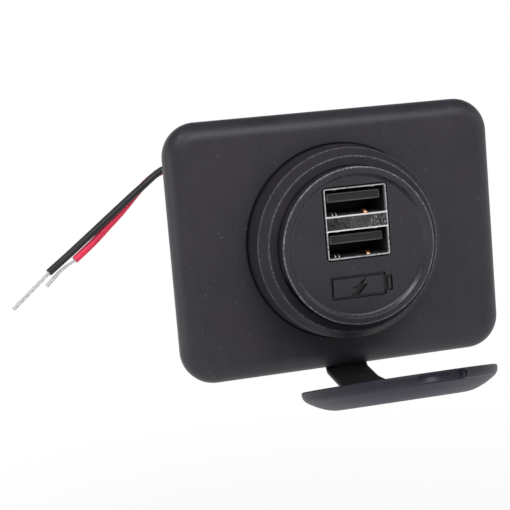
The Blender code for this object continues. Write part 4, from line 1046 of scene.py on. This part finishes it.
class SOCKET_OT_plate(Operator):
    """Makes the rectangular plate with its ribbed back"""
    bl_idname = "power_socket.plate"
    bl_label = "Plate"

    def execute(self, context):
        settings, size, looks = given(context, "plate")
        front = -size.depth
        steps = 14
        stations = []
        for step in range(steps + 1):
            angle = math.pi / 2 * step / steps
            stations.append((
                size.front_round * (1 - math.sin(angle)), front + size.front_round * (1 - math.cos(angle))))
        stations += [(0.0, -0.00022), (0.00006, -0.00006), (0.00022, 0.0)]
        sections = []
        for inset, y in stations:
            outline = rounded_rectangle(size.width - 2 * inset, size.height - 2 * inset, size.corner - inset, 5)
            sections.append([(x, y, z) for x, z in outline])
        plate = lofted("plate_cover", sections, looks["plate"])
        floor_y = front + size.front_wall
        inner = rounded_rectangle(
            size.width - 2 * size.side_wall, size.height - 2 * size.side_wall, size.corner - size.side_wall)
        carve(plate, [prism("hollow", inner, floor_y, size.depth)])
        collar_low = front + size.front_wall / 2
        collar_high = floor_y + size.collar_height
        collar_end = size.hole + size.collar_width
        collar = turned("collar", [
            (size.hole - 0.0005, collar_high), (size.hole - 0.0005, collar_low), (collar_end, collar_low),
            (collar_end, collar_high),
        ], None, 128, None)
        carve(plate, [collar, *self.ribs(size, collar_low, collar_high)], "UNION")
        foot = settings.socket.flange_base
        groove_low = front - 0.001
        groove_high = front + 0.0006
        groove = turned("groove", [
            (foot - 0.0006, groove_low), (foot + 0.00026, groove_low), (foot + 0.00024, groove_high),
            (foot - 0.0006, groove_high),
        ], None, 160, None)
        half = settings.cap.strap_width / 2 + GAP
        shift = settings.cap.strap_shift
        notch = block(
            "notch", (shift - half, -0.0017, -size.height),
            (shift + half, size.depth, -size.height / 2 + 2 * size.side_wall))
        carve(plate, [cylinder("hole", size.hole, 2 * front, size.depth), notch, groove])
        settle(plate, "black_plastic", "mounting_plate")
        return {"FINISHED"}

    def ribs(self, size, low_y, high_y, count=12):
        """Stiffening ribs from the collar to the rim."""
        ribs = []
        for rib_number in range(count):
            angle = math.tau * (rib_number + 0.5) / count
            reach = min(
                (size.width / 2 - size.side_wall + GAP) / abs(math.cos(angle)),
                (size.height / 2 - size.side_wall + GAP) / abs(math.sin(angle)))
            rib = block(
                f"rib_{rib_number}", (size.hole + size.collar_width / 2, low_y, -size.rib / 2),
                (reach, high_y, size.rib / 2))
            rib.data.transform(Matrix.Rotation(-angle, 4, "Y"))
            ribs.append(rib)
        return ribs


class SOCKET_OT_body(Operator):
    """Makes the flange and the threaded barrel"""
    bl_idname = "power_socket.body"
    bl_label = "Socket body"

    def execute(self, context):
        settings, size, looks = given(context, "socket")
        back_y = FRONT_Y - GAP
        groove_y = back_y - 0.0009
        shoulder_y = FRONT_Y - size.shoulder_height
        pocket_y = FRONT_Y - 0.0015
        fine = size.edge_round
        outline = filleted([
            (size.bore, BODY_HIGH.y, fine),
            (size.barrel, BODY_HIGH.y, fine),
            (size.barrel, back_y, 0),
            (size.seal_inner - GAP, back_y, 0),
            (size.seal_inner - GAP, groove_y, 0),
            (size.seal_outer + GAP, groove_y, 0),
            (size.seal_outer + GAP, back_y, 0),
            (size.flange_base, back_y, fine / 2),
            (size.flange_edge, FRONT_Y - size.flange_edge_height, fine),
            (size.shoulder, shoulder_y, fine),
            (size.pocket, shoulder_y, fine / 3),
            (size.pocket, pocket_y, 0),
            (size.bore, pocket_y, 0),
        ], arc=18)
        body = turned("flange_and_barrel", outline, looks["body"], 160)
        carve(body, [shell_cutter("relief", settings.receptacle, 0.0004, FACE_LOW.y, SHELL_HIGH.y + GAP)])
        settle(body, "barrel_plastic", "socket_body")
        self.thread(size, looks["barrel"])
        self.rails(looks["barrel"], size)
        return {"FINISHED"}

    def thread(self, size, finish):
        """Winds the thread round the barrel, tapering at both ends."""
        low_y = 0.0010
        high_y = BODY_HIGH.y - 0.0016
        turns = (high_y - low_y) / size.thread_pitch
        steps = round(turns * 72)
        root = size.barrel - 0.00008
        half = size.thread_pitch * 0.34
        shape = bmesh.new()
        rings = []
        for step in range(steps + 1):
            turn = turns * step / steps
            angle = math.tau * turn
            y = low_y + turn * size.thread_pitch
            crest = size.barrel + size.thread_depth * min(turn * 2, (turns - turn) * 2, 1.0)
            section = ((root, -half), (crest, -half * 0.35), (crest, half * 0.35), (root, half))
            rings.append([
                shape.verts.new((radius * math.cos(angle), y + shift, radius * math.sin(angle)))
                for radius, shift in section])
        skin(shape, rings)
        stand_for(piece("barrel_thread", shape, finish, "socket", 50.0), "barrel_plastic")

    def rails(self, finish, size):
        """Rails in the bore that hold the board's edges."""
        low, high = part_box("circuit_board")
        thick = 0.0012
        overlap = 0.0012
        end_y = 0.02455
        for side, word in ((-1, "left"), (1, "right")):
            for bottom, level in ((low.z - thick - GAP, "lower"), (high.z + GAP, "upper")):
                reach = math.sqrt((size.bore + 0.0004) ** 2 - max(abs(bottom), abs(bottom + thick)) ** 2)
                rail = block(
                    f"board_rail_{word}_{level}", (side * (high.x - overlap), FRONT_Y - 0.0010, bottom),
                    (side * reach, end_y, bottom + thick), finish, "socket", 0.0001)
                stand_for(rail, "barrel_plastic")


class SOCKET_OT_face(Operator):
    """Makes the raised face with the engraved battery symbol"""
    bl_idname = "power_socket.face"
    bl_label = "Face"

    def execute(self, context):
        settings, size, looks = given(context, "socket")
        floor_y = FACE_LOW.y + size.recess
        back_y = floor_y + 0.0020
        inner = size.face - 0.0018
        outline = filleted([
            (0.0, floor_y, 0),
            (size.face - size.rim - size.cone, floor_y, 0.00070),
            (size.face - size.rim, FACE_LOW.y, 0.00018),
            (size.face, FACE_LOW.y, 0.00028),
            (size.face, FACE_HIGH.y, 0.0001),
            (inner, FACE_HIGH.y, 0.0001),
            (inner, back_y, 0),
            (0.0, back_y, 0),
        ], False)
        face = turned("face_plate", outline, looks["face"], 160, closed=False)
        carve(face, [shell_cutter("window", settings.receptacle, 0.00025, FACE_LOW.y - PAST, back_y + PAST)])
        carve(face, self.symbol(floor_y, size.groove))
        settle(face, "black_plastic", "socket_face", 28.0)
        return {"FINISHED"}

    def symbol(self, floor_y, depth):
        """Cutters for the battery's outline, its terminal and the bolt."""
        tools = []
        for name, left, right, low, high, width, radius in (
            ("battery", -0.00642, 0.00522, -0.01042, -0.00572, 0.00058, 0.00035),
            ("terminal", 0.00512, 0.00660, -0.00965, -0.00650, 0.00048, 0.00030),
        ):
            outer, island = [prism(
                f"{name}_{layer}", rounded_rectangle(right - left - 2 * inset, high - low - 2 * inset, corner),
                floor_y - past, floor_y + depth + beyond, None, ((left + right) / 2, (low + high) / 2),
            ) for layer, inset, corner, past, beyond in (
                ("outer", 0.0, radius, 0.001, 0.0), ("island", width, radius / 2, 0.002, 0.001))]
            tools.append(carve(outer, [island]))
        tools.append(prism("bolt", [
            (0.00125, -0.00640), (-0.00190, -0.00835), (-0.00070, -0.00840), (-0.00285, -0.01008),
            (-0.00070, -0.00990), (0.00135, -0.00782), (0.00020, -0.00770),
        ], floor_y - 0.001, floor_y + depth * 1.1))
        return tools


class SOCKET_OT_receptacle(Operator):
    """Makes the double USB receptacle with its springs, tongues and contacts"""
    bl_idname = "power_socket.receptacle"
    bl_label = "Receptacle"

    def execute(self, context):
        _, size, looks = given(context, "receptacle")
        beyond = 0.004
        port_width = SHELL_WIDTH - 2 * size.sheet
        ports = (
            ("lower", SHELL_BOTTOM + size.sheet),
            ("upper", SHELL_HIGH.z - size.sheet - size.port_height),
        )
        outline = rounded_rectangle(SHELL_WIDTH, SHELL_HEIGHT, size.corner, 15)
        shell = prism(
            "receptacle_shell", outline, SHELL_LOW.y, SHELL_HIGH.y, looks["tin"], (0.0, SHELL_MIDDLE), "socket")
        opening = rounded_rectangle(port_width, size.port_height, size.sheet, 30)
        tools = [prism(
            f"{word}_port", opening, SHELL_LOW.y - beyond, SHELL_HIGH.y + beyond, None,
            (0.0, low_z + size.port_height / 2)) for word, low_z in ports]
        tools.append(block(
            "web", (-port_width / 2, SHELL_LOW.y + size.sheet, ports[0][1] + size.port_height + size.sheet),
            (port_width / 2, SHELL_HIGH.y + beyond, ports[1][1] - size.sheet)))
        carve(shell, tools)
        tab_length = 0.0014
        carve(shell, [block(
            f"tab_{side}_{station}",
            (side * (SHELL_WIDTH / 2 - size.sheet), SHELL_LOW.y + station, SHELL_LOW.z),
            (side * SHELL_WIDTH / 2, SHELL_LOW.y + station + tab_length, SHELL_BOTTOM + size.corner + size.sheet),
        ) for side in (-1, 1) for station in (0.0060, 0.0140)], "UNION")
        bevel = shell.modifiers.new("rounded edges", "BEVEL")
        bevel.width = 0.00005
        bevel.segments = 2
        bevel.limit_method = "ANGLE"
        bevel.angle_limit = math.radians(50)
        soften(shell)
        stand_for(shell, "tin", "usb_shell")
        for word, low_z in ports:
            self.springs(word, low_z, size, looks)
            self.tongue(word, low_z, size, port_width, looks["tongue"])
            for contact in range(1, 5):
                dress(f"contact_{word}_{contact}", looks["gold"], "gold")
        return {"FINISHED"}

    def springs(self, word, low_z, size, looks):
        """Bent fingers of the shell that press on a plug."""
        front = SHELL_LOW.y
        flat = 0.00010
        for name, x, half, floor, finish in (
            ("left_low", -0.0048, 0.00011, True, looks["spring"]),
            ("inner_low", -0.0040, 0.00009, True, looks["spring"]),
            ("right_low", 0.0021, 0.00036, True, looks["bronze"]),
            ("left_top", -0.0040, 0.00045, False, looks["tin"]),
            ("right_top", 0.0040, 0.00045, False, looks["tin"]),
        ):
            base, lift = (low_z, 0.00062) if floor else (low_z + size.port_height, -0.00030)
            flat = math.copysign(flat, lift)
            points = smooth_line([(front + depth, base + rise) for depth, rise in (
                (0.0080, flat), (0.0050, lift * 0.25), (0.0028, lift * 0.60), (0.0018, lift),
                (0.0011, lift * 0.90), (0.0007, lift * 0.45), (0.0006, flat),
            )], 0.00016)
            spring = ribbon(
                f"spring_{word}_{name}", points, [(x - half, x + half)] * len(points), 0.00014, finish, 0.00005)
            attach(spring, "socket")
            stand_for(spring, "tin")

    def tongue(self, word, low_z, size, port_width, finish):
        """The insulator of one port, with rounded edges and contact grooves."""
        gap = 0.00015
        front = SHELL_LOW.y + size.tongue_back
        block_y = front + 0.0088
        half = port_width / 2 - gap
        top = low_z + size.port_height - size.tongue_top
        core = block(
            f"port_insulator_{word}", (-half, block_y, low_z + gap),
            (half, SHELL_HIGH.y, low_z + size.port_height - gap), finish, "socket", 0.00010)
        tongue = block(
            "tongue", (-size.tongue_width / 2, front, top - size.tongue_thickness),
            (size.tongue_width / 2, block_y + size.tongue_thickness, top), None, None, 0.00026)
        carve(core, [tongue], "UNION")
        grooves = []
        for contact in range(1, 5):
            low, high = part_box(f"contact_{word}_{contact}")
            grooves.append(block(
                f"groove_{contact}", (low.x - gap, low.y - gap, high.z - 0.00050),
                (high.x + gap, high.y + 0.001, high.z + gap)))
        carve(core, grooves)
        settle(core, "insulator", f"port_core_{word}")


class SOCKET_OT_cap(Operator):
    """Makes the dust cap and its strap, open as they hang"""
    bl_idname = "power_socket.cap"
    bl_label = "Dust cap"

    def execute(self, context):
        settings, size, looks = given(context, "cap")
        swing, centre, to_grip, outward = cap_place(size)
        outline = filleted([
            (0.0, -size.depth, 0),
            (size.crown, -size.depth, 0.0080),
            (size.radius - size.flank_width, -size.edge - size.flank_drop, 0.0100),
            (size.radius, -size.edge, 0.0021),
            (size.radius, 0.0, 0.00040),
            (size.mouth + 0.0004, 0.0, 0.0002),
            (size.mouth - 0.0001, -0.0006, 0.0001),
            (size.mouth + 0.0001, -0.0010, 0.0001),
            (size.mouth - 0.0003, -size.floor_depth, 0.0003),
            (0.0, -size.floor_depth, 0),
        ], False, 2.5)
        cap = turned("dust_cap_shell", outline, looks["rubber"], 144, None, closed=False)
        carve(cap, [self.grip(size)])
        cap.data.transform(Matrix.Translation((0.0, centre.x, centre.y)) @ Matrix.Rotation(swing, 4, "X"))
        soften(cap, 40.0)
        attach(cap, "cap")
        stand_for(cap, "black_rubber", "dust_cap")
        self.strap(size, settings.plate, centre, to_grip, outward, looks["strap"])
        return {"FINISHED"}

    def grip(self, size):
        """Cutter for the thumb recess: it follows the rim and is lower at its two ends."""
        past = 0.0010
        below_rim = 0.00030
        ends = ((1.0, 0.50), (0.97, 0.74), (0.92, 0.92), (0.84, 1.0), (0.5, 1.0))
        parts = [(-part, share) for part, share in ends] + [(0.0, 1.0)] + list(reversed(ends))
        sections = []
        for part, share in parts:
            angle = size.grip_shift / size.radius + size.grip_width / 2 / size.radius * part
            section = []
            for out, lift in rounded_rectangle(size.grip_depth + past, size.grip_height * share, 0.00035):
                reach = size.radius - size.grip_depth / 2 + past / 2 + out
                section.append((
                    reach * math.sin(angle), -below_rim - size.grip_height / 2 + lift, reach * math.cos(angle)))
            sections.append(section)
        return lofted("grip", sections, None, None)

    def strap(self, size, plate, centre, to_grip, outward, finish):
        """The strap's ring round the barrel and the band that carries the cap."""
        plane = -0.0009
        ring_width = 0.0036
        half = size.strap_thickness / 2
        ring = washer(
            "strap_ring", (plate.hole, plate.hole + ring_width), plane - half, plane + half, finish, (0.0002, 0.0003))
        stand_for(ring, "black_rubber")
        held = (size.radius - size.mouth) * 0.6
        rim = centre - to_grip * size.radius - outward * half
        turn_in = rim - to_grip * 0.0030
        end = rim + to_grip * held
        drop = -(plate.height / 2 + 0.0009)
        line = smooth_line(filleted([
            (plane, -(plate.hole + ring_width / 2), 0), (plane, drop, 0.00155), (*turn_in, 0.0080), (*end, 0),
        ], False, 6), 0.00035)
        left = size.strap_shift - size.strap_width / 2
        right = size.strap_shift + size.strap_width / 2
        sides = []
        for point in line:
            away = (Vector(point) - Vector(line[-1])).length - held
            near, far = [min(max(1 - away / reach, 0.0), 1.0) for reach in (0.0030, 0.0072)]
            sides.append((left - size.strap_flare_left * near ** 2, right + size.strap_flare_right * far ** 1.3))
        band = ribbon("strap_band", line, sides, size.strap_thickness, finish)
        stand_for(band, "black_rubber", "cap_strap")
        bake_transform(band)


class SOCKET_OT_rear(Operator):
    """Makes the ring nut, the seal, the rear cap and the grommet"""
    bl_idname = "power_socket.rear"
    bl_label = "Nut and rear cap"

    def execute(self, context):
        _, size, looks = given(context, "socket")
        outer = (NUT_HIGH.x - NUT_LOW.x) / 2
        inner = size.barrel + GAP
        ribbed = NUT_LOW.y + 0.0010
        valley = 0.0009
        lead_in = 0.0006
        ease = 0.00005

        def lobes(radius, y, angle):
            """Sinks the valleys between the grip ribs."""
            if y < ribbed - 1e-6 or radius < outer - 0.0007:
                return radius, y
            wave = 0.5 + 0.5 * math.cos(20 * angle)
            return radius - valley * min(max((wave - 0.30) / 0.40, 0.0), 1.0), y

        nut = turned("grip_nut", filleted([
            (inner, NUT_LOW.y, 0), (outer - 0.0001, NUT_LOW.y, 0.0003), (outer - 0.0001, ribbed - ease, 0.0001),
            (outer, ribbed + ease, 0), (outer, NUT_HIGH.y, 0.0006), (inner + lead_in, NUT_HIGH.y, 0.0002),
            (inner, NUT_HIGH.y - lead_in, 0.0002),
        ], arc=18), looks["barrel"], 360, shape_point=lobes)
        settle(nut, "barrel_plastic", "ring_nut", 40.0)
        seal = washer(
            "flange_seal_ring", (size.seal_inner, size.seal_outer), SEAL_LOW.y, SEAL_HIGH.y, looks["strap"],
            (0.0002, 0.0002))
        stand_for(seal, "black_rubber", "flange_seal")
        self.rear_cap(size, looks["barrel"])
        self.grommet(looks["strap"])
        return {"FINISHED"}

    def rear_cap(self, size, finish):
        """Pressed cap with a rounded edge, a shallow dished middle and the grommet's hole."""
        plate_y = REAR_HIGH.y - 0.0020
        dish_y = REAR_HIGH.y - 0.0003
        plug = size.bore - 0.00015
        plug_bore = plug - 0.0012
        cover = turned("barrel_end_cap", filleted([
            (0.0, plate_y, 0), (plug_bore, plate_y, 0), (plug_bore, REAR_LOW.y, 0.0002),
            (plug, REAR_LOW.y, 0.0003), (plug, plate_y, 0), (size.barrel, plate_y, 0.0001),
            (size.barrel, REAR_HIGH.y, 0.0008), (size.barrel - 0.0018, REAR_HIGH.y, 0.0002),
            (size.barrel - 0.0021, dish_y, 0.0002), (0.0, dish_y, 0),
        ], False, 18), finish, 128, closed=False)
        carve(cover, [cylinder(
            "hole", 0.00315, plate_y - PAST, REAR_HIGH.y + PAST, 48, (GROMMET_CENTRE.x, GROMMET_CENTRE.z))])
        settle(cover, "barrel_plastic", "rear_cap")

    def grommet(self, finish):
        """Ribbed rubber grommet."""
        outer_y = REAR_HIGH.y + GAP
        inner_y = REAR_HIGH.y - 0.0026
        lip, neck, small = 0.0040, 0.0030, 0.0001
        outline = filleted([
            (0.0, GROMMET_LOW.y, 0), (lip - 0.0003, GROMMET_LOW.y, 0.0002), (lip, inner_y, 0), (neck, inner_y, 0),
            (neck, outer_y, 0), (lip, outer_y, 0.0002), (lip, outer_y + 0.0010, 0.0003),
            (0.0031, outer_y + 0.0011, small), (0.0030, outer_y + 0.0017, small),
            (0.0027, outer_y + 0.0018, small), (0.0029, outer_y + 0.0024, small),
            (0.0026, outer_y + 0.0025, small), (0.0027, outer_y + 0.0032, small),
            (0.0024, outer_y + 0.0033, small), (0.0024, GROMMET_HIGH.y, 0.0004), (0.0, GROMMET_HIGH.y, 0),
        ], False, 30)
        grommet = turned(
            "lead_grommet", outline, finish, 56, closed=False, centre=(GROMMET_CENTRE.x, GROMMET_CENTRE.z))
        stand_for(grommet, "black_rubber", "wire_grommet")


class SOCKET_OT_electronics(Operator):
    """Dresses the circuit board and its parts inside the barrel"""
    bl_idname = "power_socket.electronics"
    bl_label = "Electronics"

    def execute(self, context):
        _, tones, looks = given(context, "colours")
        for node, look, slot in (
            ("circuit_board", "board", "laminate"), ("charge_controller", "epoxy", "epoxy"),
            ("rectifier_diode", "epoxy", "epoxy"), ("input_fuse", "epoxy", "epoxy"),
            ("power_inductor", "ferrite", "ferrite"),
        ):
            dress(node, looks[look], slot)
        for node in ("input_capacitor", "output_capacitor"):
            low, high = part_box(node)
            finish = material(
                f"{node}_can", can_finish, tuple(tones.strand), tuple(tones.sleeve), (low.x + high.x) / 2, high.z)
            dress(node, finish, "aluminium")
        self.winding(looks["bronze"])
        self.legs(looks["strand"])
        return {"FINISHED"}

    def winding(self, finish):
        """Enamelled wire wound on the inductor's waist."""
        low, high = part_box("power_inductor")
        centre = (low + high) / 2
        radius = (high.x - low.x) / 2 * 0.86
        tall = high.z - low.z
        start = low.z + tall * 0.25
        end = low.z + tall * 0.75
        turns = 7
        steps = 24
        route = []
        for step in range(turns * steps + 1):
            angle = math.tau * step / steps
            z = start + (end - start) * step / (turns * steps)
            route.append(Vector((centre.x + radius * math.cos(angle), centre.y + radius * math.sin(angle), z)))
        shape = bmesh.new()
        add_rod(shape, route, [0.00016] * len(route), 6)
        stand_for(piece("inductor_winding", shape, finish), "gold")

    def legs(self, finish):
        """Legs of the controller chip."""
        low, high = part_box("charge_controller")
        half_width, reach, top, bottom = 0.0002, 0.0009, high.z - 0.00005, high.z - 0.00025
        for x, out, word in ((low.x, -reach, "left"), (high.x, reach, "right")):
            for leg_number in range(4):
                y = low.y + (high.y - low.y) * (leg_number + 0.5) / 4
                leg = block(
                    f"chip_leg_{word}_{leg_number + 1}", (x, y - half_width, bottom), (x + out, y + half_width, top),
                    finish, "socket", 0.00004)
                stand_for(leg, "tin")


class SOCKET_OT_stage(Operator):
    """Sets up the floor, the lights and the camera"""
    bl_idname = "power_socket.stage"
    bl_label = "Studio"

    def execute(self, context):
        scene = context.scene
        settings = scene.power_socket
        studio = settings.studio
        scene.view_settings.view_transform = "Standard"
        self.camera(scene, studio)
        self.room(scene, studio)
        self.floor(settings)
        for name, level, spot, size in (
            ("front_light", studio.front_level, (0.06, -0.42, 0.38), (0.40, 0.24)),
            ("left_light", studio.left_level, (-0.28, -0.19, 0.42), (0.11, 0.28)),
            ("strip_light", studio.strip_level, (-0.45, 0.02, -0.02), (0.14, 0.30)),
            ("right_light", studio.right_level, (0.46, -0.16, 0.22), (0.26, 0.26)),
        ):
            self.light(scene, name, level, Vector(spot), size)
        return {"FINISHED"}

    def camera(self, scene, studio):
        """Camera at the photograph's angle."""
        data = bpy.data.cameras.new("camera")
        data.lens = studio.lens
        data.sensor_width = 36.0
        data.clip_start = 0.01
        made = bpy.data.objects.new("camera", data)
        right = Vector((0.96270078, -0.25719868, -0.08400023))
        up = Vector((0.11378303, 0.10317127, 0.98813416))
        back = -Vector((0.24548039, 0.96083533, -0.12858791))
        turn = Matrix((right, up, back)).transposed().to_4x4()
        made.matrix_world = Matrix.Translation((-0.08433, -0.26249, 0.03359)) @ turn
        scene.collection.objects.link(made)
        scene.camera = made

    def room(self, scene, studio):
        """Plain light for the object, white to the camera, and darker in front and overhead in its reflections."""
        world = bpy.data.worlds.new("room")
        scene.world = world
        paint = Paint(world)
        camera, glossy, through = paint.rays("Camera", "Glossy", "Transmission")
        mirrored = glossy.most(through)
        x, y, z = paint.split(paint.place("Generated"))
        behind = y.ramp(0.0, 0.45)
        shown = behind * (1.0 - studio.side_level) + studio.side_level
        shown = shown * (1.0 - z.ramp(0.26, 0.60) * (1.0 - studio.ceiling_level))
        level = camera.most(mirrored * shown + (1 - camera.most(mirrored)) * studio.world_level)
        paint.output(paint.node("ShaderNodeBackground", None, {"Color": WHITE, "Strength": level}), "World")

    def floor(self, settings):
        """Plain pale floor under the object."""
        depth = cad_bounds[0][2] - settings.studio.floor_drop
        shape = bmesh.new()
        bmesh.ops.create_grid(shape, x_segments=1, y_segments=1, size=3.0)
        bmesh.ops.translate(shape, vec=(0.0, 0.0, depth), verts=shape.verts)
        floor = piece("floor", shape, material("floor_paint", self.floor_paint, tuple(settings.colours.floor)), None)

    @staticmethod
    def floor_paint(paint, tone):
        """Pale matt floor, white to the camera and in reflections, that keeps its shadows."""
        camera, glossy, through = paint.rays("Camera", "Glossy", "Transmission")
        seen = camera.most(glossy).most(through)
        matt = paint.node("ShaderNodeBsdfDiffuse", None, {"Color": (*tone, 1.0)})
        glow = paint.node("ShaderNodeEmission", None, {"Color": WHITE, "Strength": 1.0})
        x, y, z = paint.split(paint.place())
        share = seen * (0.86 + distance(x, y).ramp(0.04, 0.22) * 0.14)
        paint.output(paint.node("ShaderNodeMixShader", None, {
            0: share, 1: Signal(paint, matt.outputs[0]), 2: Signal(paint, glow.outputs[0])}))

    def light(self, scene, name, level, spot, size):
        """One soft light aimed at the socket."""
        data = bpy.data.lights.new(name, "AREA")
        data.shape = "RECTANGLE"
        data.size, data.size_y = size
        data.energy = level * math.pi * size[0] * size[1]
        made = bpy.data.objects.new(name, data)
        made.location = spot
        made.rotation_euler = (-spot).to_track_quat("-Z", "Y").to_euler()
        scene.collection.objects.link(made)


class SOCKET_PT_panel(Panel):
    """Sidebar panel with the sizes, the colours and one button for each step"""
    bl_label = "Power Socket"
    bl_idname = "SOCKET_PT_panel"
    bl_space_type = "VIEW_3D"
    bl_region_type = "UI"
    bl_category = "Power Socket"

    def draw(self, context):
        settings = context.scene.power_socket
        for word in settings.__annotations__:
            box = self.layout.box()
            box.label(text=word.capitalize())
            group = getattr(settings, word)
            for name in group.__annotations__:
                box.prop(group, name)
        for step in STEPS:
            self.layout.operator(step.bl_idname)


STEPS = (
    SOCKET_OT_stage, SOCKET_OT_leads, SOCKET_OT_plate, SOCKET_OT_body, SOCKET_OT_face, SOCKET_OT_receptacle,
    SOCKET_OT_cap, SOCKET_OT_rear, SOCKET_OT_electronics,
)
CLASSES = (
    PlateSizes, SocketSizes, ReceptacleSizes, CapSizes, LeadSizes, FinishColours, StudioSettings,
    PowerSocketSettings, *STEPS, SOCKET_PT_panel,
)


def register():
    """Registers the classes and the settings."""
    for each in CLASSES:
        bpy.utils.register_class(each)
    bpy.types.Scene.power_socket = PointerProperty(type=PowerSocketSettings)


def unregister():
    """Removes the settings and the classes."""
    del bpy.types.Scene.power_socket
    for each in reversed(CLASSES):
        bpy.utils.unregister_class(each)


def main():
    """Builds everything."""
    register()
    for step in STEPS:
        group, name = step.bl_idname.split(".")
        getattr(getattr(bpy.ops, group), name)()


if __name__ == "__main__":
    main()
